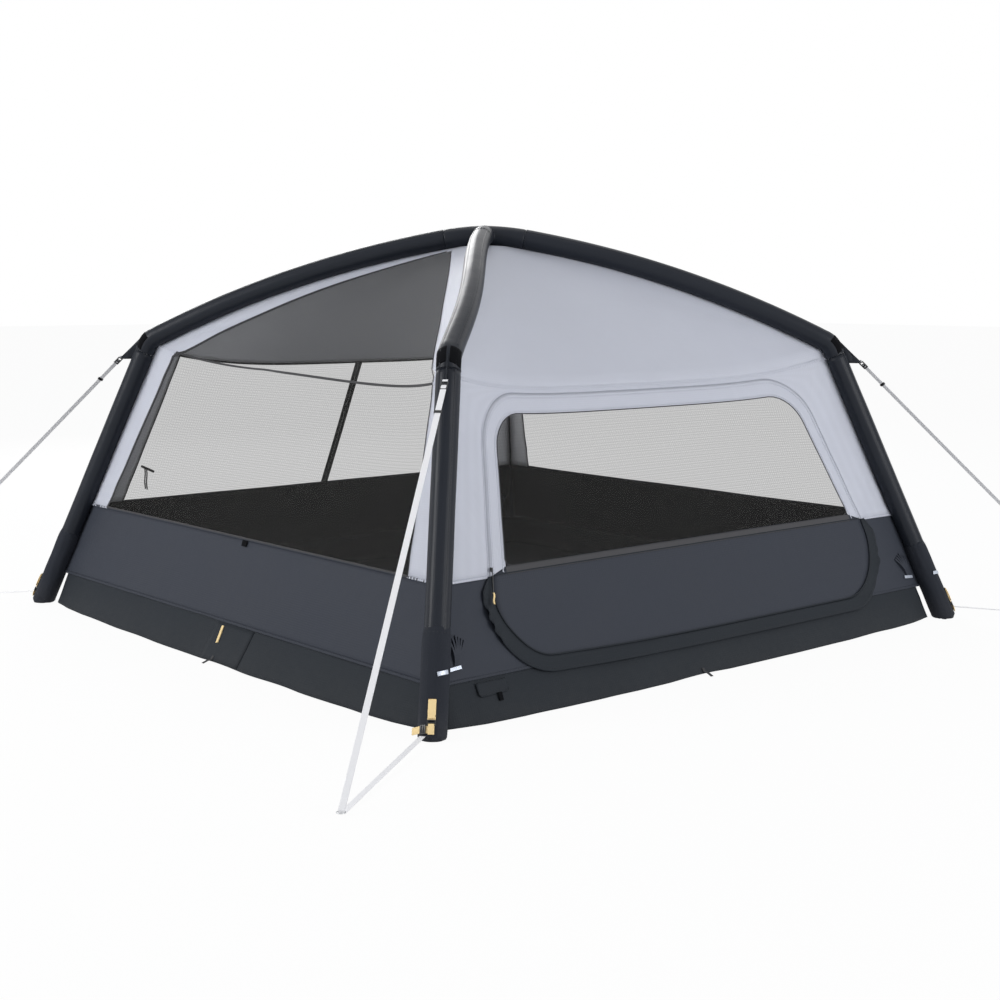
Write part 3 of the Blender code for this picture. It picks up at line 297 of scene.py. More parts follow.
def netting(name, colour, opaque, ripple):
    """Insect mesh: dark yarn whose holes let most light through."""
    material, tree, shader = blank_material(name, colour, 0.7)
    place = add_node(tree, "ShaderNodeUVMap", {"uv_map": "cloth"})
    # Real holes are 1.2 mm; they are drawn 7 mm apart, the finest that still shows
    scale = 1 / 0.007 / 2 / 3.14159
    warp = add_node(
        tree, "ShaderNodeTexWave", {"bands_direction": "X"}, {"Scale": scale}, {"Vector": place.outputs["UV"]}
    )
    weft = add_node(
        tree, "ShaderNodeTexWave", {"bands_direction": "Y"}, {"Scale": scale}, {"Vector": place.outputs["UV"]}
    )
    grid = add_node(
        tree, "ShaderNodeMath", {"operation": "MAXIMUM"}, None,
        {0: warp.outputs["Fac"], 1: weft.outputs["Fac"]},
    )
    alpha = add_node(
        tree, "ShaderNodeMapRange", None, {"To Min": opaque - ripple, "To Max": opaque + ripple},
        {"Value": grid.outputs[0]},
    )
    tree.links.new(alpha.outputs["Result"], shader.inputs["Alpha"])
    return material


def webbing(name, colour, pitch, roughness=0.6, relief=0.4):
    """Woven strap: ribs across it and a firm edge, from the strap's own map, with painted shade darkening the hollows
    between the ribs.
    """
    material, tree, shader = blank_material(name, colour, roughness, Sheen_Weight=0.15, Sheen_Roughness=0.4)
    place = add_node(tree, "ShaderNodeUVMap", {"uv_map": "cloth"})
    ribs = add_node(
        tree, "ShaderNodeTexWave", {"bands_direction": "Y", "wave_profile": "TRI"},
        {"Scale": 1 / pitch / 6.28318, "Distortion": 0.6}, {"Vector": place.outputs["UV"]},
    )
    cords = add_node(
        tree, "ShaderNodeTexWave", {"bands_direction": "X"},
        {"Scale": 1 / pitch / 4.5, "Distortion": 0.2}, {"Vector": place.outputs["UV"]},
    )
    height = add_node(
        tree, "ShaderNodeMath", {"operation": "ADD"}, None, {0: ribs.outputs["Fac"], 1: cords.outputs["Fac"]}
    )
    bump = add_node(
        tree, "ShaderNodeBump", None, {"Strength": relief, "Distance": 0.0003}, {"Height": height.outputs[0]}
    )
    tree.links.new(bump.outputs["Normal"], shader.inputs["Normal"])
    # Painted shade: the strap is darker in the hollows between its ribs and lighter on their crests
    shade = add_node(
        tree, "ShaderNodeMapRange", None, {"From Max": 2.0, "To Min": 0.86, "To Max": 1.06},
        {"Value": height.outputs[0]},
    )
    tinted = add_node(
        tree, "ShaderNodeVectorMath", {"operation": "SCALE"}, {0: colour[:3]},
        {"Scale": shade.outputs["Result"]},
    )
    tree.links.new(tinted.outputs["Vector"], shader.inputs["Base Color"])
    return material


def moulded(name, colour, roughness, grain=0.0003, **sockets):
    """Moulded plastic or film: a fine spark-eroded grain in the gloss and the surface."""
    material, tree, shader = blank_material(name, colour, roughness, **sockets)
    spot = add_node(tree, "ShaderNodeTexCoord")
    speck = add_node(
        tree, "ShaderNodeTexNoise", None, {"Scale": 900.0, "Detail": 2.0}, {"Vector": spot.outputs["Object"]}
    )
    bump = add_node(
        tree, "ShaderNodeBump", None, {"Strength": 0.4, "Distance": grain}, {"Height": speck.outputs["Fac"]}
    )
    tree.links.new(bump.outputs["Normal"], shader.inputs["Normal"])
    worn = add_node(
        tree, "ShaderNodeTexNoise", None, {"Scale": 60.0, "Detail": 3.0}, {"Vector": spot.outputs["Object"]}
    )
    polish = add_node(
        tree, "ShaderNodeMapRange", None, {"To Min": roughness - 0.1, "To Max": roughness + 0.1},
        {"Value": worn.outputs["Fac"]},
    )
    tree.links.new(polish.outputs["Result"], shader.inputs["Roughness"])
    return material


def make_materials():
    colours = bpy.context.scene.tent_colours
    made = {}
    # Polyester sleeve cloth with a smooth coating: satin, it catches a long soft highlight
    made["satin_sleeve_polyester"] = woven(
        "satin_sleeve_polyester", [*colours.sleeve, 1], 0.34, 0.004, 0.0004, 0.06,
        Specular_IOR_Level=0.15,
    )
    # Heavy coated cloth of the boots: black, matte, dusty near the ground
    made["coated_boot_cloth"] = woven(
        "coated_boot_cloth", linear("2a2d34"), 0.7, 0.005, 0.0006, 0.08, 0.08, Specular_IOR_Level=0.1
    )
    # Hook-and-loop pile: very dark and dull
    made["loop_pile"] = woven("loop_pile", linear("0e0f12"), 0.9, 0.006, 0.0015, 0.1, Specular_IOR_Level=0.08)
    # Dyed polyester of the canopy: pale, matte, with a faint cloudiness
    made["canopy_polyester"] = woven(
        "canopy_polyester", [*colours.canopy, 1], 0.6, 0.005, 0.0004, 0.018,
        Sheen_Weight=0.05, Sheen_Roughness=0.5, Subsurface_Weight=0.5, Subsurface_Scale=0.002,
        Subsurface_Radius=(1, 1, 1),
    )
    # The canopy's coated back: mid grey, it darkens the inside
    made["coated_canopy_back"] = woven(
        "coated_canopy_back", linear("c4c5c8"), 0.7, 0.005, 0.0003, 0.03,
        Subsurface_Weight=0.6, Subsurface_Scale=0.002, Subsurface_Radius=(1, 1, 1),
    )
    # Slate polyester of the lower walls: matte with a soft bloom
    made["slate_polyester"] = woven(
        "slate_polyester", [*colours.sill, 1], 0.6, 0.005, 0.0005, 0.05,
        Specular_IOR_Level=0.16,
    )
    # Skirt cloth: coated, a shade darker, dusty at the hem
    made["coated_skirt_cloth"] = woven(
        "coated_skirt_cloth", linear("2b2f34"), 0.65, 0.005, 0.0005, 0.06, 0.05, Specular_IOR_Level=0.1
    )
    # Laminated ground cloth: near black, dull
    made["ground_laminate"] = woven("ground_laminate", linear("17171a"), 0.8, 0.006, 0.0005, 0.12, Specular_IOR_Level=0.15)
    made["insect_netting"] = netting("insect_netting", linear("2b2b29"), 0.25, 0.05)
    # The window's mesh doubled at its hem: charcoal, open, dull
    made["doubled_netting"] = woven("doubled_netting", linear("3e3e41"), 0.8, 0.006, 0.001, 0.15)
    # Bias tape that binds the mesh: black and dull
    made["bias_tape"] = webbing("bias_tape", linear("29292c"), 0.004, 0.75)
    # Dyed polyester webbing at the feet: warm orange, ribbed
    made["orange_webbing"] = webbing("orange_webbing", linear("f0a743"), 0.004)
    # Undyed polyester guy webbing: near white, ribbed
    made["guy_webbing"] = webbing("guy_webbing", linear("e3e3e6"), 0.004, relief=0.05)
    # Glass-bead reflective tape: grey with a cool shine
    made["reflective_tape"] = moulded("reflective_tape", linear("bcc3d0"), 0.3, 0.0002, Metallic=0.35)
    # Acetal of buckles and sliders: black, moulded, slightly shiny
    made["moulded_acetal"] = moulded("moulded_acetal", linear("1a1b1d"), 0.38)
    # Polyurethane film of the bladder: cloudy, smooth
    made["bladder_film"] = moulded("bladder_film", linear("c9c9c6"), 0.35, 0.0001)
    # Zinc-plated steel rings: cool, semi-bright
    made["plated_steel"] = moulded("plated_steel", linear("b9bbbe"), 0.3, 0.0001, Metallic=1.0)
    # Spun polyester thread: dark on dark cloth, pale on pale cloth
    made["dark_thread"] = moulded("dark_thread", linear("2a2c31"), 0.8, 0.0004)
    made["pale_thread"] = moulded("pale_thread", linear("a9adb8"), 0.8, 0.0004)
    made["zip_coil"] = moulded("zip_coil", linear("1c1c1f"), 0.45, 0.0003)
    return made


def material(name):
    return bpy.data.materials[name]


# The frame's lines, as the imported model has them


def arm_arc_radius():
    reach = SHOULDER_HALF * ROOT2 - HUB_REACH
    return reach / (math.sin(SHOULDER_SLOPE) - math.sin(HUB_SLOPE))


def apex_height():
    arm_rise = arm_arc_radius() * (math.cos(HUB_SLOPE) - math.cos(SHOULDER_SLOPE))
    return SHOULDER_HEIGHT + arm_rise + HUB_REACH / math.sin(HUB_SLOPE) * (1 - math.cos(HUB_SLOPE))


def arm_point(slope, offset=0.0):
    """Point (reach from the centre, height) on the arm where it has this slope, offset outwards."""
    if slope >= HUB_SLOPE:
        radius = arm_arc_radius()
        reach = HUB_REACH + radius * (math.sin(slope) - math.sin(HUB_SLOPE))
        height = SHOULDER_HEIGHT + radius * (math.cos(slope) - math.cos(SHOULDER_SLOPE))
    else:
        radius = HUB_REACH / math.sin(HUB_SLOPE)
        reach = radius * math.sin(slope)
        height = apex_height() - radius * (1 - math.cos(slope))
    return Vector((reach + offset * math.sin(slope), height + offset * math.cos(slope)))


def leg_point(height, offset=0.0):
    reach = FOOT_HALF * ROOT2 - height * math.tan(LEG_LEAN)
    return Vector((reach + offset / math.cos(LEG_LEAN), height))


def bend_tangent():
    return BEND_RADIUS * math.tan((math.radians(90) - LEG_LEAN - SHOULDER_SLOPE) / 2)


def leg_seam_height():
    return SHOULDER_HEIGHT - (bend_tangent() + SLEEVE_SEAM_DROP) * math.cos(LEG_LEAN)


def bend_points(steps=10):
    corner = Vector((SHOULDER_HALF * ROOT2, SHOULDER_HEIGHT))
    start = corner - bend_tangent() * Vector((-math.sin(LEG_LEAN), math.cos(LEG_LEAN)))
    first = math.radians(90) - LEG_LEAN
    centre = start - BEND_RADIUS * Vector((math.sin(first), math.cos(first)))
    slopes = [first + (SHOULDER_SLOPE - first) * step / steps for step in range(steps + 1)]
    return [centre + BEND_RADIUS * Vector((math.sin(s), math.cos(s))) for s in slopes]


def arch_line():
    """The centreline of half an arch from the ground to past the hub, as (reach, height) points."""
    line = [leg_point(leg_seam_height() * step / 40) for step in range(41)]
    line += bend_points()
    line += [arm_point(SHOULDER_SLOPE + (HUB_SLOPE - SHOULDER_SLOPE) * step / 40) for step in range(1, 41)]
    line += [arm_point(HUB_SLOPE * (1 - step / 6)) for step in range(1, 7)]
    for step in (1, 2, 3):
        past = arm_point(HUB_SLOPE * step / 6)
        line.append(Vector((-past.x, past.y)))
    return line


ARCH = arch_line()
ARCH_RUN = [0.0]
for before, after in zip(ARCH, ARCH[1:]):
    ARCH_RUN.append(ARCH_RUN[-1] + (after - before).length)


def run_at(test):
    """How far along the arch the first point lies that passes a test."""
    return next(run for run, point in zip(ARCH_RUN, ARCH) if test(point))


LEG_SEAM_RUN = run_at(lambda point: point.y >= leg_seam_height() - 1e-6)
HUB_SEAM_RUN = run_at(lambda point: point.x <= HUB_REACH + 1e-6)
BEND_RUN = run_at(lambda point: point.x <= SHOULDER_HALF * ROOT2)


def arch_at(run):
    """Centre, direction and outward normal of the arch at a run from the ground."""
    index = 0
    while index < len(ARCH) - 2 and ARCH_RUN[index + 1] < run:
        index += 1
    share = (run - ARCH_RUN[index]) / (ARCH_RUN[index + 1] - ARCH_RUN[index])
    point = ARCH[index].lerp(ARCH[index + 1], share)
    before = ARCH[max(index - 1, 0)]
    after = ARCH[min(index + 2, len(ARCH) - 1)]
    along = (after - before).normalized()
    return point, along, Vector((along.y, -along.x))


def nearest_run(point):
    """How far along the arch a (reach, height) point lies."""
    best = (FOOT_HALF, 0.0)
    for run, first, second in zip(ARCH_RUN, ARCH, ARCH[1:]):
        step = second - first
        share = min(max((point - first).dot(step) / step.dot(step), 0), 1)
        best = min(best, ((point - first - step * share).length, run + step.length * share))
    return best[1]


def arm_bow(share):
    """How far the soft front left arm bows towards the door, at a share from shoulder to hub."""
    return ARM_BOW * math.sin(math.pi * min(max(share, 0), 1) ** ARM_BOW_POWER) ** 2


def tube_spot(turn, run, angle, radius):
    """A point round the arch: angle 0 is its outer line, positive towards the next side."""
    point, along, out = arch_at(run)
    flat = point + out * radius * math.cos(angle)
    bow = arm_bow((run - BEND_RUN) / (HUB_SEAM_RUN - BEND_RUN)) if turn == LEGS["front_left"] else 0
    spot = Vector((flat.x, radius * math.sin(angle) + bow, flat.y))
    return Matrix.Rotation(math.radians(turn), 3, "Z") @ spot


# The skin of the walls and roof


def crease():
    leg = leg_point(0, -CORNER_OFFSET)
    arm = arm_point(SHOULDER_SLOPE, -CORNER_OFFSET)
    lean = math.tan(LEG_LEAN)
    slope = math.tan(SHOULDER_SLOPE)
    reach = (arm.y + slope * arm.x - leg.x / lean) / (slope - 1 / lean)
    return Vector((reach, arm.y - slope * (reach - arm.x)))


CREASE = crease()


def wall_station(height):
    half = leg_point(height, -CORNER_OFFSET).x / ROOT2
    share = (height - SILL_HEIGHT) / (CREASE.y - SILL_HEIGHT)
    if share < 0:
        return half, height, SILL_SAG * (height - BASE_HEIGHT) / (SILL_HEIGHT - BASE_HEIGHT), 0.0
    return half, height, SILL_SAG + (SEAM_SAG - SILL_SAG) * share, SEAM_DIP * share


def roof_stations():
    end_slope = math.asin(ROOF_END_HALF * ROOT2 * math.sin(HUB_SLOPE) / HUB_REACH)
    line = [CREASE]
    for step in range(1, ROOF_ROWS + 1):
        line.append(arm_point(SHOULDER_SLOPE + (end_slope - SHOULDER_SLOPE) * step / ROOF_ROWS, -CORNER_OFFSET))
    stations = []
    for point in line:
        share = (point.x / ROOT2 - ROOF_END_HALF) / (CREASE.x / ROOT2 - ROOF_END_HALF)
        stations.append((point.x / ROOT2, point.y, SEAM_SAG * share, SEAM_DIP * share))
    return stations


ROOF = roof_stations()


def station_at(level):
    """Level 0 is the base seam, 1 the sill's top, 2 the shoulder seam and 3 the hub."""
    if level <= 1:
        return wall_station(BASE_HEIGHT + (SILL_HEIGHT - BASE_HEIGHT) * level)
    if level <= 2:
        return wall_station(SILL_HEIGHT + (CREASE.y - SILL_HEIGHT) * (level - 1))
    place = min((level - 2) * ROOF_ROWS, ROOF_ROWS - 1e-6)
    index = int(place)
    part = place - index
    return tuple(a + (b - a) * part for a, b in zip(ROOF[index], ROOF[index + 1]))


def skin_point(across, station):
    half, height, inset, dip = station
    fade = 1 - min(abs(across), 1.0) ** SAG_POWER
    return Vector((across * half, -(half - inset * fade), height - dip * fade))


def slack(side, share, level):
    """How far the cloth waves off its taut surface: soft waves, and folds that fan out of its corners."""
    seed = SIDES[side] / 90 * 7.3
    half = station_at(level)[0]
    x, y = share * half, level * 0.6
    wave = noise.noise(Vector((x * 1.5 + seed, y * 2.0, seed))) * 0.0040
    wave += noise.noise(Vector((x * 5.0 + seed, y * 3.5, 3.1))) * 0.0010
    for corner_level in (1.0, 2.0):
        for sign in (-1, 1):
            dx, dy = (1 - sign * share) * half, (level - corner_level) * 0.6
            reach = math.hypot(dx, dy) + 0.02
            angle = math.atan2(dy, dx)
            wave += math.sin(angle * 11 + seed + sign) * math.exp(-reach / 0.22) * min(reach / 0.1, 1) * 0.0035
    return wave


def turned(point, side):
    return Matrix.Rotation(math.radians(SIDES[side]), 3, "Z") @ point


def skin_spot(side, share, level, lift=0.0):
    """A point of the cloth at a share of its half width and a level, lifted outwards."""
    step = 0.002
    station = station_at(level)
    here = skin_point(share, station)
    beside = skin_point(share + step, station) - skin_point(share - step, station)
    low, high = (level - step, level) if level > 2.99 or 2 < level < 2 + step else (level, level + step)
    if abs(level - 2) < 1e-9:
        low, high = level - step, level
    above = skin_point(share, station_at(high)) - skin_point(share, station_at(low))
    out = beside.cross(above).normalized()
    return turned(here + out * (lift + slack(side, share, level)), side)


def skin_place(across, height):
    """The (share, level) of a point of a wall's elevation below the shoulder seam."""
    row = height
    for _ in range(8):
        half, _, _, dip = wall_station(row)
        share = across / half
        row = height + dip * (1 - min(abs(share), 1) ** SAG_POWER)
    if row <= SILL_HEIGHT:
        return share, (row - BASE_HEIGHT) / (SILL_HEIGHT - BASE_HEIGHT)
    return share, 1 + (row - SILL_HEIGHT) / (CREASE.y - SILL_HEIGHT)


def off_frame(point):
    """Distance from a point of the front skin to the surface of its right-hand leg or arm."""
    spot = Vector(((point.x - point.y) / ROOT2, point.z))
    aside = (point.x + point.y) / ROOT2
    nearest = FOOT_HALF
    for first, second in zip(ARCH[:-3], ARCH[1:-3]):
        run = second - first
        share = min(max((spot - first).dot(run) / run.dot(run), 0), 1)
        nearest = min(nearest, (spot - first - run * share).length)
    return math.hypot(nearest, aside) - TUBE_RADIUS


EDGES = {}


def edge_share(level):
    """Where the cloth goes under the sleeve's surface, as a share of its half width."""
    key = round(level, 4)
    if key not in EDGES:
        low, high = 0.5, 1.0
        station = station_at(level)
        for _ in range(14):
            middle = (low + high) / 2
            if off_frame(skin_point(middle, station)) > -0.004:
                low = middle
            else:
                high = middle
        EDGES[key] = low
    return EDGES[key]


# Outlines


def rounded(corners, radii, steps=14):
    points = []
    for index, (corner, radius) in enumerate(zip(corners, radii)):
        corner = Vector(corner)
        before = (Vector(corners[index - 1]) - corner).normalized()
        after = (Vector(corners[(index + 1) % len(corners)]) - corner).normalized()
        half = before.angle(after) / 2
        if radius <= 0:
            points.append(tuple(corner))
            continue
        centre = corner + (before + after).normalized() * radius / math.sin(half)
        start = corner + before * radius / math.tan(half) - centre
        end = corner + after * radius / math.tan(half) - centre
        sweep = start.angle_signed(end)
        for step in range(steps + 1):
            points.append(tuple(centre + Matrix.Rotation(-sweep * step / steps, 2) @ start))
    return points


def door_half(height, inset=0.0):
    return DOOR_HALF - DOOR_TAPER_SHARE * (height - SILL_HEIGHT) - inset


def door_loop(inset=0.0, bottom=None, bottom_radius=None, bottom_inset=None):
    """The door's outline from its bottom left, drawn in by an inset, anticlockwise from outside."""
    top = DOOR_TOP - inset
    low = DOOR_BOTTOM + (inset if bottom_inset is None else bottom_inset) if bottom is None else bottom
    radius = DOOR_RADIUS - inset if bottom_radius is None else bottom_radius
    corners = [
        (-door_half(low, inset), low),
        (door_half(low, inset), low),
        (door_half(top, inset), top),
        (-door_half(top, inset), top),
    ]
    return rounded(corners, [radius, radius, DOOR_RADIUS - inset, DOOR_RADIUS - inset])


def resampled(points, count):
    """A polyline as count points spaced evenly along it."""
    points = [Vector(point) for point in points]
    runs = [0.0]
    for a, b in zip(points, points[1:]):
        runs.append(runs[-1] + (b - a).length)
    result, index = [], 0
    for step in range(count):
        run = runs[-1] * step / (count - 1)
        while index < len(points) - 2 and runs[index + 1] < run:
            index += 1
        span = runs[index + 1] - runs[index]
        share = (run - runs[index]) / span if span else 0
        result.append(points[index].lerp(points[index + 1], share))
    return result


def upper_door_line(inset, low=SILL_HEIGHT):
    """The door's outline above a height, from its left foot over the top to its right foot."""
    loop = door_loop(inset)
    high = [point for point in loop if point[1] > low + 0.02]
    right = [point for point in high if point[0] > 0]
    left = [point for point in high if point[0] <= 0]
    line = [(-door_half(low, inset), low)] + list(reversed(left))
    line += list(reversed(right)) + [(door_half(low, inset), low)]
    return line


def lower_door_line(inset, high=SILL_HEIGHT):
    """The door's outline below a height, from its left side round the bottom to its right side."""
    loop = door_loop(inset)
    low = [point for point in loop if point[1] < high - 0.02]
    left = [point for point in low if point[0] <= 0]
    right = [point for point in low if point[0] > 0]
    return [(-door_half(high, inset), high)] + left + right + [(door_half(high, inset), high)]


def window_loop(inset=0.0):
    return door_loop(WINDOW_BORDER + inset, WINDOW_BOTTOM + inset, 0.02)


# Meshes


def sheet_mesh(name, rows, outward=None):
    """A grid of points as a mesh with a map in metres on it, facing outward."""
    work = bmesh.new()
    lines = [[work.verts.new(point) for point in row] for row in rows]
    layer = work.loops.layers.uv.new("cloth")
    middle = len(rows[0]) // 2
    up = [0.0]
    for low, high in zip(rows, rows[1:]):
        up.append(up[-1] + (Vector(high[middle]) - Vector(low[middle])).length)
    across = []
    for row in rows:
        run = [0.0]
        for a, b in zip(row, row[1:]):
            run.append(run[-1] + (Vector(b) - Vector(a)).length)
        across.append([value - run[-1] / 2 for value in run])
    for index in range(len(rows) - 1):
        for column in range(len(rows[0]) - 1):
            corners = (
                (index, column), (index, column + 1), (index + 1, column + 1), (index + 1, column)
            )
            face = work.faces.new([lines[i][c] for i, c in corners])
            face.smooth = True
            for loop, (i, c) in zip(face.loops, corners):
                loop[layer].uv = (across[i][c], up[i])
    if outward is not None:
        total = Vector()
        for face in work.faces:
            face.normal_update()
            total += face.normal * face.calc_area()
        if total.dot(outward) < 0:
            bmesh.ops.reverse_faces(work, faces=work.faces)
    mesh = bpy.data.meshes.new(name)
    work.to_mesh(mesh)
    work.free()
    return mesh


def joined_mesh(name, meshes, weld=0.0):
    """Several meshes as one, with near points merged."""
    work = bmesh.new()
    for mesh in meshes:
        work.from_mesh(mesh)
    if weld:
        bmesh.ops.remove_doubles(work, verts=work.verts, dist=weld)
    result = bpy.data.meshes.new(name)
    work.to_mesh(result)
    work.free()
    for mesh in meshes:
        bpy.data.meshes.remove(mesh)
    return result


def piece(name, mesh, materials, body=FRAME, replaces=()):
    """An object of the tent, riding on a body and standing for its solids."""
    item = bpy.data.objects.new(name, mesh)
    bpy.context.scene.collection.objects.link(item)
    mesh.materials.clear()
    for name_of in materials:
        mesh.materials.append(material(name_of))
    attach(item, body)
    if replaces:
        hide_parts(*replaces)
    return item


def thicken(item, thickness, inner=True):
    """Gives a sheet its thickness inwards, with its second material on the inner face."""
    modifier = item.modifiers.new("thickness", "SOLIDIFY")
    modifier.thickness = thickness
    modifier.offset = -1
    modifier.use_even_offset = True
    if inner:
        modifier.material_offset = 1
    return item


def mesh_area(item):
    return sum(polygon.area for polygon in item.data.polygons)


def rim_length(item):
    """Length of a sheet's free edges."""
    work = bmesh.new()
    work.from_mesh(item.data)
    total = sum(edge.calc_length() for edge in work.edges if edge.is_boundary)
    work.free()
    return total


def declare(item, side):
    """Works out the size of a sheet's flat cut; nothing is kept of it."""
    back = Matrix.Rotation(-math.radians(SIDES[side]), 3, "Z")
    spots = [back @ vertex.co for vertex in item.data.vertices]
    width = max(s.x for s in spots) - min(s.x for s in spots)
    deep = max(s.y for s in spots) - min(s.y for s in spots)
    high = max(s.z for s in spots) - min(s.z for s in spots)
    length = math.hypot(deep, high)
    area = mesh_area(item)
    if area < 0.35 * width * length:
        half = rim_length(item) / 2
        root = math.sqrt(max(half**2 / 4 - area, 0))
        width, length = half / 2 - root, half / 2 + root
    return item


def cloth_panel(name, side, rows, materials, body=FRAME, replaces=(), thick=True):
    outward = turned(Vector((0, -1, 0.3)), side)
    item = piece(name, sheet_mesh(name, rows, outward), materials, body, replaces)
    declare(item, side)
    if thick:
        thicken(item, bpy.context.scene.tent_sizes.cloth_thickness, len(materials) > 1)
    return item


def rope_ends(path):
    """Directions along a path of points."""
    result = []
    for index in range(len(path)):
        before = path[max(index - 1, 0)]
        after = path[min(index + 1, len(path) - 1)]
        result.append((after - before).normalized())
    return result


def strip_mesh(name, path, outs, width, height, closed=False, sink=0.0004):
    """A flat tape along points, with its outer face outs away from the cloth."""
    path = [Vector(point) for point in path]
    directions = rope_ends(path)
    if closed:
        directions[0] = directions[-1] = (path[1] - path[-2]).normalized()
    work = bmesh.new()
    layer = work.loops.layers.uv.new("cloth")
    rings, runs = [], [0.0]
    for index, (point, along, out) in enumerate(zip(path, directions, outs)):
        side = along.cross(out).normalized()
        lift = side.cross(along).normalized()
        section = [
            point - side * width / 2 - lift * sink,
            point - side * width / 2 * 0.86 + lift * height,
            point + side * width / 2 * 0.86 + lift * height,
            point + side * width / 2 - lift * sink,
        ]
        rings.append([work.verts.new(spot) for spot in section])
        if index:
            runs.append(runs[-1] + (point - path[index - 1]).length)
    marks = (-width / 2, -width / 2 * 0.86, width / 2 * 0.86, width / 2)
    for index in range(len(rings) - 1):
        low, high = rings[index], rings[index + 1]
        for corner in range(4):
            following = (corner + 1) % 4
            face = work.faces.new((low[corner], high[corner], high[following], low[following]))
            across = (marks[corner], marks[corner], marks[following], marks[following])
            ups = (runs[index], runs[index + 1], runs[index + 1], runs[index])
            for loop, u, v in zip(face.loops, across, ups):
                loop[layer].uv = (u, v)
    work.faces.new(rings[0])
    work.faces.new(reversed(rings[-1]))
    bmesh.ops.recalc_face_normals(work, faces=work.faces)
    mesh = bpy.data.meshes.new(name)
    work.to_mesh(mesh)
    work.free()
    return mesh


def traced(side, places, lift=0.0, step=0.03):
    """Points on the cloth through (share, level) places, with the outward direction at each."""
    fine = []
    for a, b in zip(places, places[1:]):
        first, last = skin_spot(side, *a), skin_spot(side, *b)
        count = max(1, math.ceil((last - first).length / step))
        fine += [(a[0] + (b[0] - a[0]) * k / count, a[1] + (b[1] - a[1]) * k / count) for k in range(count)]
    fine.append(places[-1])
    path = [skin_spot(side, share, level, lift) for share, level in fine]
    outs = [(skin_spot(side, share, level, lift + 0.01) - spot).normalized() for (share, level), spot in zip(fine, path)]
    return path, outs


def add_stitches(body, thread, path, outs, lift=0.0006, aside=0.0):
    """Keeps a line of stitches to be made later, moved sideways on the cloth."""
    directions = rope_ends([Vector(point) for point in path])
    line = []
    for point, along, out in zip(path, directions, outs):
        side = along.cross(out).normalized()
        line.append((Vector(point) + side * aside + out * lift, out))
    STITCHES.setdefault((body, thread), []).append(line)


def seam(parts, body, thread, side, places, width=0.012, height=0.0010):
    """A felled seam: a low fold of cloth with a row of stitches near each edge."""
    path, outs = traced(side, places, 0.0008)
    parts.append(strip_mesh("seam", path, outs, width, height))
    for aside in (width * 0.3, -width * 0.3):
        add_stitches(body, thread, path, outs, height + 0.0004, aside)


def level_line(level):
    edge = edge_share(level)
    return [(edge * (-1.0 + 2.0 * step / 48), level) for step in range(49)]


def share_line(share_of, low, high, steps=24):
    """A line up the wall whose share of the half width depends on the level."""
    levels = [low + (high - low) * step / steps for step in range(steps + 1)]
    return [(share_of(level), level) for level in levels]


def levels_between(low, high, rows):
    return [low + (high - low) * row / rows for row in range(rows + 1)]


def spanned_rows(side, levels, left_of, right_of, columns, lift=0.0):
    """Rows of cloth between two lines that depend on the level."""
    rows = []
    for level in levels:
        left, right = left_of(level), right_of(level)
        rows.append([skin_spot(side, left + (right - left) * c / columns, level, lift) for c in range(columns + 1)])
    return rows


def band_rows(side, inner, outer, rows, lift=0.0):
    """Rows of cloth between two lines of (share, level) places with as many points."""
    result = []
    for row in range(rows + 1):
        part = row / rows
        result.append([
            skin_spot(side, a[0] + (b[0] - a[0]) * part, a[1] + (b[1] - a[1]) * part, lift)
            for a, b in zip(inner, outer)
        ])
    return result


# Camera, floor and light


def camera_matrix(place, yaw, pitch, roll):
    forward = Vector((math.sin(yaw) * math.cos(pitch), math.cos(yaw) * math.cos(pitch), math.sin(pitch)))
    right = Vector((math.cos(yaw), -math.sin(yaw), 0))
    up = right.cross(forward)
    right, up = (
        right * math.cos(roll) + up * math.sin(roll),
        up * math.cos(roll) - right * math.sin(roll),
    )
    return Matrix.Translation(place) @ Matrix((right, up, -forward)).transposed().to_4x4()


def seen_white(tree):
    """One for rays that see the backdrop directly, in a mirror or through glass."""
    rays = add_node(tree, "ShaderNodeLightPath")
    most = add_node(
        tree, "ShaderNodeMath", {"operation": "MAXIMUM"}, None,
        {0: rays.outputs["Is Camera Ray"], 1: rays.outputs["Is Glossy Ray"]},
    )
    return add_node(
        tree, "ShaderNodeMath", {"operation": "MAXIMUM"}, None,
        {0: most.outputs[0], 1: rays.outputs["Is Transmission Ray"]},
    )


def area_light(name, place, aim, size, power):
    light = bpy.data.lights.new(name, "AREA")
    light.shape = "DISK"
    light.size = size
    light.energy = power
    item = bpy.data.objects.new(name, light)
    item.location = place
    item.rotation_euler = (Vector(aim) - Vector(place)).to_track_quat("-Z", "Y").to_euler()
    item.visible_camera = False
    bpy.context.scene.collection.objects.link(item)


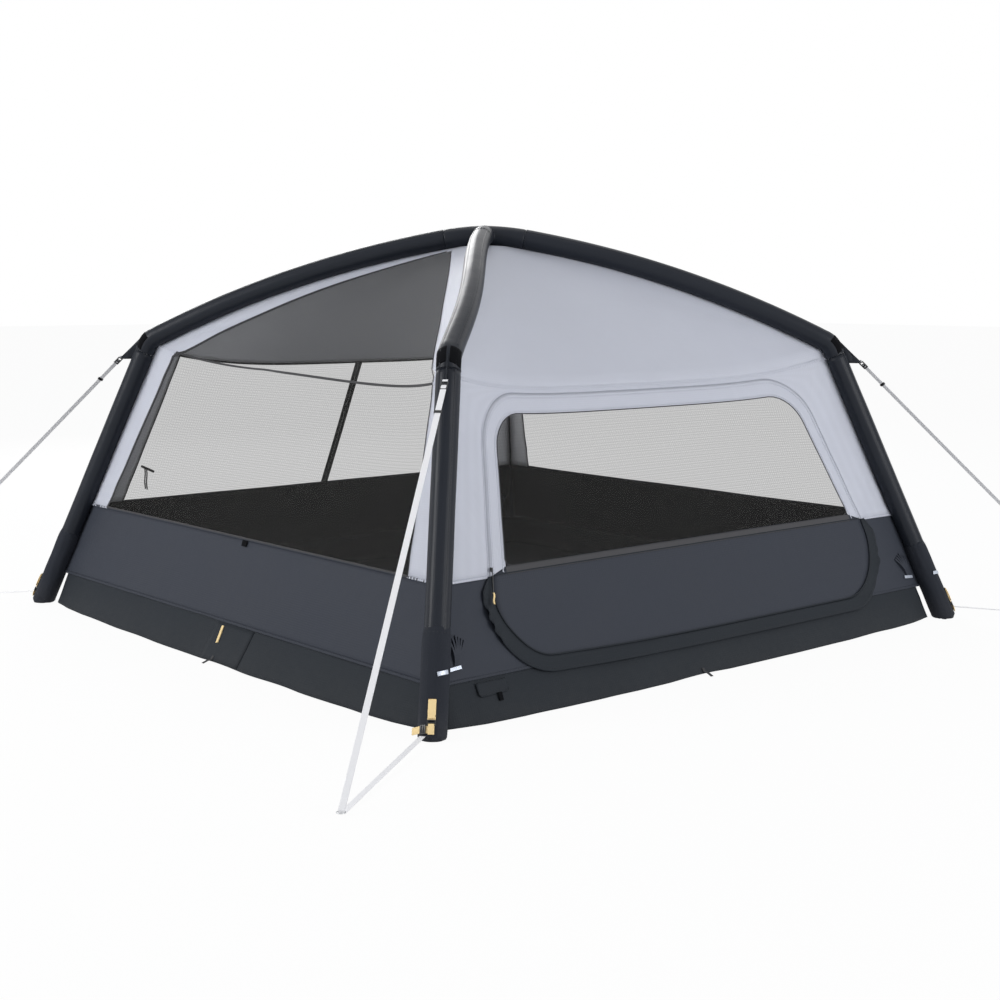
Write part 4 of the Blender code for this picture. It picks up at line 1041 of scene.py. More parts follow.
class TENT_OT_stage(bpy.types.Operator):
    """Sets the camera, the pale floor, the lights and the white backdrop"""

    bl_idname = "tent.stage"
    bl_label = "Stage"

    def execute(self, context):
        scene = context.scene
        data = bpy.data.cameras.new("camera")
        data.sensor_width = 36
        data.lens = 55.4537
        data.clip_end = 200
        camera = bpy.data.objects.new("camera", data)
        camera.matrix_world = camera_matrix(
            (-5.0549, -5.9503, 1.6309), math.radians(40.93536), math.radians(-7.75393), math.radians(0.15599)
        )
        scene.collection.objects.link(camera)
        scene.camera = camera

        world = bpy.data.worlds.new("soft_sky")
        world.use_nodes = True
        tree = world.node_tree
        plain = tree.nodes["Background"]
        plain.inputs["Color"].default_value = (0.93, 0.95, 1.0, 1)
        plain.inputs["Strength"].default_value = 0.42
        white = add_node(tree, "ShaderNodeBackground", None, {"Color": (1, 1, 1, 1), "Strength": 1.0})
        seen = seen_white(tree)
        mixed = add_node(
            tree, "ShaderNodeMixShader", None, None,
            {0: seen.outputs[0], 1: plain.outputs[0], 2: white.outputs[0]},
        )
        tree.links.new(mixed.outputs[0], tree.nodes["World Output"].inputs["Surface"])
        scene.world = world

        size = 60
        floor_mesh = bpy.data.meshes.new("floor")
        floor_mesh.from_pydata(
            [(-size, -size, 0), (size, -size, 0), (size, size, 0), (-size, size, 0)], [], [(0, 1, 2, 3)]
        )
        floor = bpy.data.objects.new("floor", floor_mesh)
        floor.location.z = -0.002
        scene.collection.objects.link(floor)
        finish, tree, shader = blank_material("white_sweep", (0.86, 0.86, 0.86, 1), 0.95, Specular_IOR_Level=0.1)
        glow = add_node(tree, "ShaderNodeEmission", None, {"Color": (1, 1, 1, 1), "Strength": 1.0})
        seen = seen_white(tree)
        share = add_node(
            tree, "ShaderNodeMath", {"operation": "MULTIPLY"}, {1: 0.95}, {0: seen.outputs[0]}
        )
        mixed = add_node(
            tree, "ShaderNodeMixShader", None, None,
            {0: share.outputs[0], 1: shader.outputs[0], 2: glow.outputs[0]},
        )
        tree.links.new(mixed.outputs[0], tree.nodes["Material Output"].inputs["Surface"])
        floor_mesh.materials.append(finish)

        area_light("front_softbox", (2.0, -9.0, 3.6), (0.2, 0, 0.9), 6.0, 350)
        area_light("left_softbox", (-8.5, 2.0, 4.6), (0, 0, 1.0), 4.5, 400)
        area_light("top_softbox", (1.0, 1.0, 8.0), (0, 0, 1.0), 5.0, 40)
        area_light("back_softbox", (2.8, 8.0, 5.0), (0, 0, 1.2), 5.5, 400)
        scene.view_settings.view_transform = "Standard"
        return {"FINISHED"}


# Guys


def guy_lines(leg):
    """Top end and ground point of one guy, its direction and the level direction across it."""
    tip = Matrix.Rotation(math.radians(LEGS[leg]), 3, "Z") @ Vector((GUSSET_TIP_HALF * ROOT2, 0, GUSSET_TIP_HEIGHT))
    ground = Vector((*GUY_GROUND[leg], 0.009))
    along = (ground - tip).normalized()
    level = Vector((0, 0, 1)).cross(along).normalized()
    return tip, ground, along, level


def band_mesh(name, path, wide, width, thickness):
    """A strap along points with its width along given directions."""
    work = bmesh.new()
    layer = work.loops.layers.uv.new("cloth")
    rings, runs = [], [0.0]
    directions = rope_ends(path)
    marks = (-0.5, -0.44, 0.44, 0.5, 0.44, -0.44)
    rises = (0, 0.5, 0.5, 0, -0.5, -0.5)
    for index, (point, along, side) in enumerate(zip(path, directions, wide)):
        up = side.cross(along).normalized()
        rings.append([work.verts.new(point + side * width * m + up * thickness * r) for m, r in zip(marks, rises)])
        if index:
            runs.append(runs[-1] + (point - path[index - 1]).length)
    for index in range(len(rings) - 1):
        low, high = rings[index], rings[index + 1]
        for corner in range(6):
            following = (corner + 1) % 6
            face = work.faces.new((low[corner], high[corner], high[following], low[following]))
            across = (marks[corner], marks[corner], marks[following], marks[following])
            ups = (runs[index], runs[index + 1], runs[index + 1], runs[index])
            for loop, u, v in zip(face.loops, across, ups):
                loop[layer].uv = (u * width, v)
    work.faces.new(rings[0])
    work.faces.new(reversed(rings[-1]))
    bmesh.ops.recalc_face_normals(work, faces=work.faces)
    mesh = bpy.data.meshes.new(name)
    work.to_mesh(mesh)
    work.free()
    return mesh


def bevelled_bars(name, boxes, matrix, bevel=0.0008):
    """Rounded bars from (size, centre) pairs, placed by a matrix, as one mesh."""
    work = bmesh.new()
    for size, centre in boxes:
        made = bmesh.ops.create_cube(work, size=1)["verts"]
        bmesh.ops.scale(work, vec=size, verts=made)
        bmesh.ops.translate(work, vec=centre, verts=made)
    limit = min(min(size) for size, _ in boxes) * 0.35
    bmesh.ops.bevel(
        work, geom=work.edges[:], offset=min(bevel, limit), segments=2, profile=0.6, affect="EDGES"
    )
    bmesh.ops.transform(work, matrix=matrix, verts=work.verts)
    for face in work.faces:
        face.smooth = True
    mesh = bpy.data.meshes.new(name)
    work.to_mesh(mesh)
    work.free()
    mesh.set_sharp_from_angle(angle=math.radians(40))
    return mesh


def ring_mesh(name, centre, axis, radius, wire):
    """A closed wire ring round an axis."""
    curve_steps, wire_steps = 28, 8
    axis = Vector(axis).normalized()
    first = axis.orthogonal().normalized()
    second = axis.cross(first)
    work = bmesh.new()
    rings = []
    for step in range(curve_steps):
        angle = math.tau * step / curve_steps
        out = first * math.cos(angle) + second * math.sin(angle)
        middle = Vector(centre) + first * math.cos(angle) * radius + second * math.sin(angle) * radius
        rings.append([
            work.verts.new(middle + (out * math.cos(math.tau * k / wire_steps) + axis * math.sin(math.tau * k / wire_steps)) * wire)
            for k in range(wire_steps)
        ])
    for index in range(curve_steps):
        low, high = rings[index], rings[(index + 1) % curve_steps]
        for k in range(wire_steps):
            face = work.faces.new((low[k], low[(k + 1) % wire_steps], high[(k + 1) % wire_steps], high[k]))
            face.smooth = True
    bmesh.ops.recalc_face_normals(work, faces=work.faces)
    mesh = bpy.data.meshes.new(name)
    work.to_mesh(mesh)
    work.free()
    return mesh


def guy_matrix(leg):
    tip, _, along, level = guy_lines(leg)
    level = Matrix.Rotation(math.radians(GUY_ROLL[leg]), 3, along) @ level
    return Matrix.Translation(tip) @ Matrix((along, level, along.cross(level))).transposed().to_4x4()


class TENT_OT_guys(bpy.types.Operator):
    """Makes the four guys: webbing from the shoulder to the ground and back to the boot"""

    bl_idname = "tent.guys"
    bl_label = "Guys"

    def execute(self, context):
        width = context.scene.tent_sizes.strap_width
        for leg in LEGS:
            tip, ground, along, level = guy_lines(leg)
            start = tip + along * (GUY_BUCKLE_START + GUY_BUCKLE_LENGTH + PIECE_GAP)
            anchor = Vector(ANCHOR_SPOT[leg])
            outward = Vector((along.x, along.y, 0)).normalized()
            bar = ground + Vector((0, 0, 0.003)) - outward * 0.004
            loop = 0.0075
            falls = math.atan2(-along.z, math.hypot(along.x, along.y))
            first = math.radians(90) - falls
            last = -math.radians(95)
            turn = []
            for step in range(9):
                angle = first + (last - first) * step / 8
                turn.append(bar + outward * loop * math.cos(angle) + Vector((0, 0, loop * math.sin(angle))))
            path = [start.lerp(turn[0], step / 24) for step in range(24)] + turn
            path += [turn[-1].lerp(anchor, step / 12) for step in range(1, 13)]
            for index, point in enumerate(path):
                sway = math.sin(math.pi * min(index / 24, 1)) * 0.004
                point.z -= sway
            back = (anchor - turn[-1]).normalized()
            level_back = -Vector((0, 0, 1)).cross(back).normalized()
            rolls = [math.radians(GUY_ROLL[leg]) * (1 - min(max((k - 14) / 8, 0), 1)) for k in range(28)]
            wide = [Matrix.Rotation(roll, 3, along) @ level for roll in rolls]
            wide += [level.lerp(level_back, k / 5).normalized() for k in range(5)]
            wide += [level_back] * (len(path) - len(wide))
            strap = piece(
                "guy_webbing_" + leg, band_mesh("guy_webbing_" + leg, path, wide, width, STRAP_THICKNESS),
                ["guy_webbing"], FRAME, ["guy_strap_" + leg],
            )
            ring = piece(
                "guy_ring_" + leg, ring_mesh("guy_ring", bar + outward * 0.014, level.cross(outward), 0.014, 0.0016),
                ["plated_steel"], FRAME, (),
            )
            keeper_at = path[22]
            keeper = piece(
                "guy_tail_" + leg,
                band_mesh(
                    "guy_tail", [keeper_at.lerp(path[26], k / 4) + along.cross(level) * 0.002 for k in range(5)],
                    [level] * 5, width * 0.96, STRAP_THICKNESS,
                ),
                ["guy_webbing"], FRAME, (),
            )
            self.fittings(leg, width)
        return {"FINISHED"}

    def fittings(self, leg, width):
        """The ladder buckle at the shoulder, its short white loop, and the sliding keeper."""
        matrix = guy_matrix(leg)
        long, wide, bar = GUY_BUCKLE_LENGTH, 0.028, 0.0042
        boxes = [((long, bar, 0.0055), (GUY_BUCKLE_START + long / 2, side * (wide - bar) / 2, 0)) for side in (-1, 1)]
        for share, deep in ((0.06, 0.005), (0.38, 0.006), (0.62, 0.005), (0.95, 0.0055)):
            boxes.append(((0.0042, wide - bar, deep), (GUY_BUCKLE_START + long * share, 0, 0)))
        piece(
            "ladder_buckle_" + leg, bevelled_bars("ladder_buckle", boxes, matrix), ["moulded_acetal"], FRAME,
            ["guy_buckle_" + leg],
        )
        loops = []
        for low, high, lift in ((-0.010, 0.30, 0.0034), (0.45, 1.06, 0.0034)):
            points = []
            for step in range(7):
                part = step / 6
                run = long * (low if low > 0 else 0) + (long * high - long * max(low, 0)) * part
                run += low if low < 0 else 0
                points.append(matrix @ Vector((run, 0, lift * math.sin(math.pi * part))))
            loops.append(band_mesh("loop", points, [matrix.col[1].to_3d()] * 7, width * 0.9, STRAP_THICKNESS))
        piece("buckle_loops_" + leg, joined_mesh("buckle_loops", loops), ["guy_webbing"], FRAME, ())
        centre = SLIDER_START + SLIDER_LENGTH / 2
        frame_boxes = [
            ((SLIDER_LENGTH, 0.003, 0.0055), (centre, side * 0.0133, 0)) for side in (-1, 1)
        ]
        frame_boxes += [((SLIDER_LENGTH, 0.030, 0.0018), (centre, 0, side * 0.0026)) for side in (-1, 1)]
        piece(
            "keeper_" + leg, bevelled_bars("keeper", frame_boxes, matrix, 0.0006), ["moulded_acetal"],
            "slider_" + leg, ["guy_slider_" + leg],
        )


# Sleeves


def pucker(run, angle, seed):
    """Cloth over an inflated tube: pulled in at its end seams, fluted beside them, creased inside the bend."""
    lift = 0.0
    for seam_run in (LEG_SEAM_RUN, HUB_SEAM_RUN):
        off = abs(run - seam_run)
        lift -= 0.0022 * math.exp(-((off / 0.010) ** 2))
        lift += 0.0007 * math.sin(angle * 19 + seed) * math.exp(-off / 0.045)
    inner = max(-math.cos(angle), 0.0)
    near = math.exp(-(((run - BEND_RUN) / 0.075) ** 2))
    lift += near * inner * 0.0030 * math.sin((run - BEND_RUN) * 210 + math.sin(angle * 3 + seed))
    lift += near * max(math.cos(angle), 0.0) * 0.0007 * math.sin((run - BEND_RUN) * 90 + angle * 4)
    lift += noise.noise(Vector((math.cos(angle) * 2 + seed, math.sin(angle) * 2, run * 4))) * 0.0009
    for line in (math.radians(40), math.radians(-40), math.radians(140), math.radians(-140)):
        off = abs(angle - line)
        lift -= 0.0006 * math.exp(-((off / 0.05) ** 2))
    return lift


def sleeve_rows(leg, low, high, step):
    sides = bpy.context.scene.tent_sizes.tube_sides
    turn = LEGS[leg]
    count = max(4, round((high - low) / step))
    rows = []
    for row in range(count + 1):
        run = low + (high - low) * row / count
        ring = []
        for k in range(sides + 1):
            angle = -math.pi + math.tau * k / sides
            wrapped = math.pi if k in (0, sides) else angle
            ring.append(tube_spot(turn, run, angle, TUBE_RADIUS + pucker(run, wrapped, turn)))
        rows.append(ring)
    return rows


def tube_sheet(name, rows):
    """A tube of cloth from its rings, closed along its length."""
    mesh = sheet_mesh(name, rows)
    work = bmesh.new()
    work.from_mesh(mesh)
    bmesh.ops.remove_doubles(work, verts=work.verts, dist=0.00001)
    bmesh.ops.recalc_face_normals(work, faces=work.faces)
    work.to_mesh(mesh)
    work.free()
    return mesh


def tube_line(leg, runs, angle, lift):
    turn = LEGS[leg]
    path = [tube_spot(turn, run, angle, TUBE_RADIUS + lift) for run in runs]
    outs = [(tube_spot(turn, run, angle, TUBE_RADIUS + lift + 0.01) - spot).normalized() for run, spot in zip(runs, path)]
    return path, outs


def tube_ring(leg, run, lift):
    turn = LEGS[leg]
    path, outs = [], []
    for step in range(41):
        angle = math.radians(-180 + 360 * step / 40)
        spot = tube_spot(turn, run, angle, TUBE_RADIUS + lift)
        path.append(spot)
        outs.append((tube_spot(turn, run, angle, TUBE_RADIUS + lift + 0.01) - spot).normalized())
    return path, outs


class TENT_OT_sleeves(bpy.types.Operator):
    """Makes the inflated sleeves, their seams and the pile patches on the shoulders"""

    bl_idname = "tent.sleeves"
    bl_label = "Sleeves"

    def execute(self, context):
        foot_run = ARCH_RUN[0] + BOOT_WALL + SLEEVE_LIFT + 0.02
        for leg in LEGS:
            gap = PIECE_GAP / 2
            lower = tube_sheet("leg_tube", sleeve_rows(leg, foot_run, LEG_SEAM_RUN - gap, 0.02))
            item = piece(
                "leg_tube_" + leg, lower, ["satin_sleeve_polyester"], FRAME, ["leg_sleeve_" + leg]
            )
            thicken(item, 0.001, False)
            upper = tube_sheet("arm_tube", sleeve_rows(leg, LEG_SEAM_RUN + gap, HUB_SEAM_RUN - gap, 0.012))
            item = piece(
                "arm_tube_" + leg, upper, ["satin_sleeve_polyester"], FRAME, ["arm_sleeve_" + leg]
            )
            thicken(item, 0.001, False)
            self.trims(leg, foot_run)
        self.hub()
        return {"FINISHED"}

    def trims(self, leg, foot_run):
        """Lengthwise seams, ring seams and the two pile patches of one shoulder."""
        strips = []
        for degrees in (40, -40):
            angle = math.radians(degrees)
            for low, high in ((0.30, LEG_SEAM_RUN - 0.004), (LEG_SEAM_RUN + 0.004, HUB_SEAM_RUN - 0.004)):
                count = max(8, round((high - low) / 0.03))
                runs = [low + (high - low) * k / count for k in range(count + 1)]
                path, outs = tube_line(leg, runs, angle, 0.0)
                strips.append(strip_mesh("seam", path, outs, 0.007, 0.0009))
                add_stitches(FRAME, "dark_thread", path, outs, 0.0012)
        for run in (LEG_SEAM_RUN + 0.006, HUB_SEAM_RUN - 0.006):
            path, outs = tube_ring(leg, run, -0.0012)
            strips.append(strip_mesh("seam", path, outs, 0.008, 0.0012, closed=True))
            add_stitches(FRAME, "dark_thread", path, outs, 0.0015, 0.002)
            path, outs = tube_ring(leg, run - 0.014 if run < BEND_RUN else run + 0.014, -0.0012)
            add_stitches(FRAME, "dark_thread", path, outs, 0.0012)
        piece(
            "sleeve_seams_" + leg, joined_mesh("sleeve_seams", strips), ["satin_sleeve_polyester"], FRAME, (),
        )
        patches = []
        for sign in (-1, 1):
            rows = []
            for up in range(9):
                row = []
                for k in range(11):
                    angle = math.radians(9 + 66 * k / 10) * sign
                    low = BEND_RUN - 0.040 - 0.018 * (k / 10)
                    high = BEND_RUN + 0.012
                    run = low + (high - low) * up / 8
                    row.append(tube_spot(LEGS[leg], run, angle, TUBE_RADIUS + 0.0016 + pucker(run, angle, LEGS[leg])))
                rows.append(row)
            middle = tube_spot(LEGS[leg], BEND_RUN, math.radians(40) * sign, TUBE_RADIUS * 2)
            axis = tube_spot(LEGS[leg], BEND_RUN, 0, 0)
            patches.append(sheet_mesh("patch", rows, middle - axis))
        item = piece("pile_patches_" + leg, joined_mesh("pile_patches", patches), ["loop_pile"], FRAME, ())
        modifier = item.modifiers.new("thickness", "SOLIDIFY")
        modifier.thickness = 0.0016
        modifier.offset = -1

    def hub(self):
        """The crossed sleeve over the middle: four mitred ends welded into one skin."""
        rows = sleeve_rows("back_right", HUB_SEAM_RUN + PIECE_GAP / 2, ARCH_RUN[-1], 0.008)
        mesh = tube_sheet("hub_quarter", rows)
        back = Matrix.Rotation(-math.radians(LEGS["back_right"]), 4, "Z")
        mesh.transform(back)
        work = bmesh.new()
        work.from_mesh(mesh)
        for side in (1, -1):
            everything = work.verts[:] + work.edges[:] + work.faces[:]
            bmesh.ops.bisect_plane(work, geom=everything, plane_co=(0, 0, 0), plane_no=(-1, side, 0), clear_outer=True)
        quarter = work.verts[:] + work.edges[:] + work.faces[:]
        for turn in (90, 180, 270):
            copied = bmesh.ops.duplicate(work, geom=quarter)["geom"]
            points = [item for item in copied if isinstance(item, bmesh.types.BMVert)]
            bmesh.ops.rotate(work, verts=points, cent=(0, 0, 0), matrix=Matrix.Rotation(math.radians(turn), 3, "Z"))
        bmesh.ops.remove_doubles(work, verts=work.verts, dist=0.0012)
        bmesh.ops.recalc_face_normals(work, faces=work.faces)
        work.to_mesh(mesh)
        work.free()
        mesh.transform(Matrix.Rotation(math.radians(LEGS["back_right"]), 4, "Z"))
        item = piece("hub_tubes", mesh, ["satin_sleeve_polyester"], FRAME, ["hub_sleeve"])
        thicken(item, 0.001, False)
        strips = []
        for turn in range(4):
            points, outs = [], []
            for step in range(13):
                angle = math.radians(-88 + 176 * step / 12)
                aside = TUBE_RADIUS * math.sin(angle)
                height = arm_point(0).y - abs(aside) ** 2 * 0.4 + TUBE_RADIUS * math.cos(angle)
                spot = Vector((abs(aside), aside, height + 0.0003))
                points.append(Matrix.Rotation(math.radians(45 + 90 * turn), 3, "Z") @ spot)
                out = Vector((0.0, math.sin(angle), math.cos(angle) + 0.2)).normalized()
                outs.append(Matrix.Rotation(math.radians(45 + 90 * turn), 3, "Z") @ out)
            strips.append(strip_mesh("mitre", points[6:], outs[6:], 0.008, 0.0010))
            add_stitches(FRAME, "dark_thread", points[6:], outs[6:], 0.0016)
        piece("hub_seams", joined_mesh("hub_seams", strips), ["satin_sleeve_polyester"], FRAME, ())


# Boots


def boot_spot(leg, up, angle, lift):
    """A point of a boot's surface: up along the leg, angle from its outer line."""
    return tube_spot(LEGS[leg], up, angle, BOOT_RADIUS + lift)


class TENT_OT_boots(bpy.types.Operator):
    """Makes the boots with their bands, webbing, buckles and tabs"""

    bl_idname = "tent.boots"
    bl_label = "Boots"

    def execute(self, context):
        for leg in LEGS:
            self.boot(leg)
            self.bands(leg)
            self.anchor(leg)
        return {"FINISHED"}

    def boot(self, leg):
        """A cup of heavy cloth, cut level at the ground, with a soft sole edge."""
        sides, steps = 48, 34
        rows = []
        for row in range(steps + 1):
            part = row / steps
            ring = []
            for k in range(sides + 1):
                angle = -math.pi + math.tau * k / sides
                run = -0.02 + (BOOT_HEIGHT + 0.035) * part
                wave = noise.noise(Vector((math.cos(angle) * 3, math.sin(angle) * 3 + LEGS[leg], run * 9))) * 0.0022
                swell = wave - 0.0034 * max(0.0, (run - BOOT_HEIGHT + 0.025) / 0.025)
                spot = boot_spot(leg, max(run, 0.0), angle, swell)
                if spot.z < 0.0:
                    spot.z = 0.0
                ring.append(spot)
            rows.append(ring)
        sole = Vector((0, 0, 0))
        for spot in rows[0][:-1]:
            sole += spot / sides
        inner_rings = []
        for share in (0.0, 0.5, 0.9):
            inner_rings.append([sole.lerp(Vector((spot.x, spot.y, 0.0)), share) for spot in rows[0]])
        for ring in rows[:3]:
            for spot in ring:
                low = max(0.0, 0.012 - spot.z) / 0.012
                centre = Vector((sole.x, sole.y, spot.z))
                spot += (centre - spot).normalized() * 0.006 * low**2
        mesh = tube_sheet("boot", inner_rings + rows)
        item = piece("boot_" + leg, mesh, ["coated_boot_cloth"], FRAME, ["foot_boot_" + leg])
        modifier = item.modifiers.new("thickness", "SOLIDIFY")
        modifier.thickness = 0.0024
        modifier.offset = -1
        for up in (0.030, BOOT_HEIGHT - 0.012):
            path, outs = [], []
            for step in range(49):
                angle = -math.pi + math.tau * step / 48
                spot = boot_spot(leg, up, angle, 0.0012)
                path.append(spot)
                outs.append((boot_spot(leg, up, angle, 0.01) - spot).normalized())
            add_stitches(FRAME, "dark_thread", path, outs, 0.0010)

    def bands(self, leg):
        """A reflective tab on the boot, one on the wall beside it, and the gathers above that one."""
        sign = 1 if leg in ("front_left", "back_right") else -1
        side = "front" if leg.startswith("front") else "back"
        wall_sign = -1 if leg in ("front_left", "back_right") else 1
        angles = [math.radians(14 + 46 * step / 8) * sign for step in range(9)]
        spots = [(0.230 + 0.014 * step / 8, angle) for step, angle in enumerate(angles)]
        path = [boot_spot(leg, up, angle, 0.0030) for up, angle in spots]
        outs = [(boot_spot(leg, up, angle, 0.02) - boot_spot(leg, up, angle, 0)).normalized() for up, angle in spots]
        tabs = [strip_mesh("band", path, outs, 0.017, 0.0014)]
        places = [(wall_sign * (0.966 - 0.040 * k / 6), 0.13 + 0.012 * k / 6) for k in range(7)]
        path, outs = traced(side, places, 0.0060)
        tabs.append(strip_mesh("band", path, outs, 0.015, 0.0014))
        piece("reflective_tabs_" + leg, joined_mesh("band", tabs), ["reflective_tape"], FRAME, ())
        folds = []
        for index in range(6):
            top = wall_sign * (0.966 - 0.010 * index)
            places = []
            for k in range(9):
                part = k / 8
                lean = (top - wall_sign * 0.944) * part**1.2
                places.append((wall_sign * 0.944 + lean, 0.165 + (0.30 - 0.022 * abs(index - 2)) * part))
            path, outs = traced(side, places, 0.0005)
            path = [spot + out * 0.010 * math.sin(math.pi * k / (len(path) - 1)) for k, (spot, out) in enumerate(zip(path, outs))]
            folds.append(strip_mesh("fold", path, outs, 0.009, 0.005, sink=0.010))
        piece("corner_gathers_" + leg, joined_mesh("folds", folds), ["slate_polyester"], FRAME, ())

    def anchor(self, leg):
        """Orange webbing up the boot's outer line, a side tab, and their black ladder buckles."""
        side_sign = -1 if leg in ("front_left", "back_left") else 1
        orange = []
        for places, width in (
            (((0.060, 0.0026), (0.085, 0.0026), (0.110, 0.0026), (0.135, 0.0026)), 0.030),
            (((0.066, 0.0075), (0.090, 0.0085), (0.115, 0.0075), (0.134, 0.0055), (0.137, 0.0044), (0.134, 0.0034)), 0.029),
            (((0.046, 0.0060), (0.036, 0.0085), (0.022, 0.0075), (0.008, 0.0040)), 0.024),
        ):
            path = [boot_spot(leg, up, 0, lift) for up, lift in places]
            outs = [(boot_spot(leg, up, 0, 0.02) - boot_spot(leg, up, 0, 0.0)).normalized() for up, _ in places]
            orange.append(strip_mesh("webbing", path, outs, width, 0.0018))
        path, outs = [], []
        for step in range(8):
            angle = math.radians(-6 + 72 * step / 7) * side_sign
            path.append(boot_spot(leg, 0.026, angle, 0.0046))
            outs.append((boot_spot(leg, 0.026, angle, 0.02) - path[-1]).normalized())
        ahead = (path[-1] - path[-2]).normalized()
        path += [path[-1] + ahead * 0.014 * k + outs[-1] * 0.001 * k for k in (1, 2, 3)]
        outs += [outs[-1]] * 3
        orange.append(strip_mesh("webbing", path, outs, 0.028, 0.0016))
        piece(
            "foot_webbing_" + leg, joined_mesh("foot_webbing", orange), ["orange_webbing"], FRAME,
            ["foot_anchor_" + leg],
        )
        face = boot_spot(leg, 0.050, 0, 0.0)
        outward = (boot_spot(leg, 0.050, 0, 0.02) - face).normalized()
        upward = (boot_spot(leg, 0.070, 0, 0.0) - face).normalized()
        matrix = Matrix.Translation(face + outward * 0.0052) @ Matrix(
            (upward, outward.cross(upward), outward)
        ).transposed().to_4x4()
        boxes = [((0.022, 0.004, 0.0055), (0, side * 0.0150, 0)) for side in (-1, 1)]
        boxes += [((0.004, 0.030, 0.0050), (at, 0, 0.0008)) for at in (-0.009, 0.0, 0.009, 0.025)]
        buckles = [bevelled_bars("buckle", boxes, matrix)]
        spot = boot_spot(leg, 0.026, math.radians(30) * side_sign, 0.002)
        out = (boot_spot(leg, 0.026, math.radians(30) * side_sign, 0.02) - spot).normalized()
        matrix = Matrix.Translation(spot + out * 0.0058) @ Matrix(
            (out.cross(upward), -upward, out)
        ).transposed().to_4x4()
        boxes = [((0.026, 0.0036, 0.005), (0, side * 0.0150, 0)) for side in (-1, 1)]
        boxes += [((0.0066, 0.030, 0.0046), (at, 0, 0.0006)) for at in (-0.0095, 0.0, 0.0095)]
        buckles.append(bevelled_bars("buckle", boxes, matrix))
        piece("foot_buckles_" + leg, joined_mesh("foot_buckles", buckles), ["moulded_acetal"], FRAME, ())


class TENT_OT_gussets(bpy.types.Operator):
    """Makes the triangles of doubled cloth that the guys pull on"""

    bl_idname = "tent.gussets"
    bl_label = "Gussets"

    def execute(self, context):
        for leg, turn in LEGS.items():
            rotation = Matrix.Rotation(math.radians(turn), 3, "Z")
            tip = Vector((GUSSET_TIP_HALF * ROOT2, GUSSET_TIP_HEIGHT))
            rows = []
            top_run = BEND_RUN + 0.045
            low_run = BEND_RUN - 0.125
            for row in range(13):
                part = row / 12
                line = []
                run = top_run + (low_run - top_run) * part
                point, _, out = arch_at(run)
                root = point + out * (TUBE_RADIUS - 0.003)
                end_share = 0.03 + 0.05 * part
                hollow = 0.016 * math.sin(math.pi * min(max((part - 0.5) * 2, 0), 1))
                for k in range(15):
                    share = k / 14
                    flat = root.lerp(tip + Vector((-0.004 * part, -0.010 * part + 0.004)), share * (1 - end_share * 0.4))
                    flat = flat + Vector((0, hollow * share * (1 - share) * 2.2))
                    billow = math.sin(share * 9 + part * 4) * 0.0012 + math.sin(part * math.pi) * 0.0022 * share * (1 - share) * 4
                    line.append(rotation @ Vector((flat.x, billow, flat.y)))
                rows.append(line)
            side = rotation @ Vector((0, -1, 0))
            mesh = sheet_mesh("gusset", rows, side)
            item = piece("gusset_" + leg, mesh, ["satin_sleeve_polyester"], FRAME, ["guy_gusset_" + leg])
            modifier = item.modifiers.new("thickness", "SOLIDIFY")
            modifier.thickness = 0.002
            modifier.offset = 0
            for line, lift in ((rows[1], 0.0014), (rows[-2], 0.0014), (rows[6], 0.0014)):
                for sign in (-1, 1):
                    outs = [side * sign] * len(line)
                    add_stitches(FRAME, "dark_thread", line, outs, lift)
        return {"FINISHED"}


# Walls


def strip_share(level, side=None, sign=1):
    """Where the mesh begins beside a wall's strip, as a share of the half width."""
    at_sill, at_seam, at_hub = FRONT_STRIP_WIDTHS if (side, sign) == ("left", 1) else STRIP_WIDTHS
    station = station_at(level)
    if level <= 2:
        half = leg_point(station[1]).x / ROOT2
        part = (station[1] - SILL_HEIGHT) / (CREASE.y - SILL_HEIGHT)
        return (half - at_sill - (at_seam - at_sill) * part) / station[0]
    part = (station[0] - ROOF_END_HALF) / (ROOF[0][0] - ROOF_END_HALF)
    return (station[0] - at_hub - (at_seam - at_hub) * part) / station[0]


def mesh_edge(side, sign, level):
    """The share at which a wall's mesh ends to one side; both sides meet above the mesh."""
    shares = [strip_share(level, side, -1), strip_share(level, side, 1)]
    middle = (shares[1] - shares[0]) / 2
    return sign * max(shares[sign > 0], sign * middle)


def cloth_edge(side, sign, level):
    """The share at which a wall's cloth ends under the sleeve."""
    share = edge_share(level)
    if (side, sign) == ("left", 1) and level > 2:
        share += arm_bow(level - 2) * 1.35 / station_at(level)[0]
    return sign * share


HEM_LEVEL = 2 - SEAM_HEM / (CREASE.y - SILL_HEIGHT)


def mesh_top(side):
    level = 2.0
    while (mesh_edge(side, 1, level) - mesh_edge(side, -1, level)) * station_at(level)[0] > 0.04:
        level += 0.004
    return level


def beside(side):
    """Names of the sleeves that a wall hangs between."""
    corner = {
        "front": ("front_left", "front_right"), "right": ("front_right", "back_right"),
        "back": ("back_right", "back_left"), "left": ("back_left", "front_left"),
    }[side]
    return ["arm_tube_" + leg for leg in corner] + ["leg_tube_" + leg for leg in corner]


def sill_panel(side, name, replaces):
    """The slate cloth under a wall, from the base seam to the sill."""
    columns = bpy.context.scene.tent_sizes.wall_columns
    levels = levels_between(-0.01, 1.0, 14)
    rows = spanned_rows(side, levels, lambda l: -edge_share(l), edge_share, columns)
    return cloth_panel(
        name, side, rows, ["slate_polyester", "ground_laminate"], FRAME, replaces,
    )


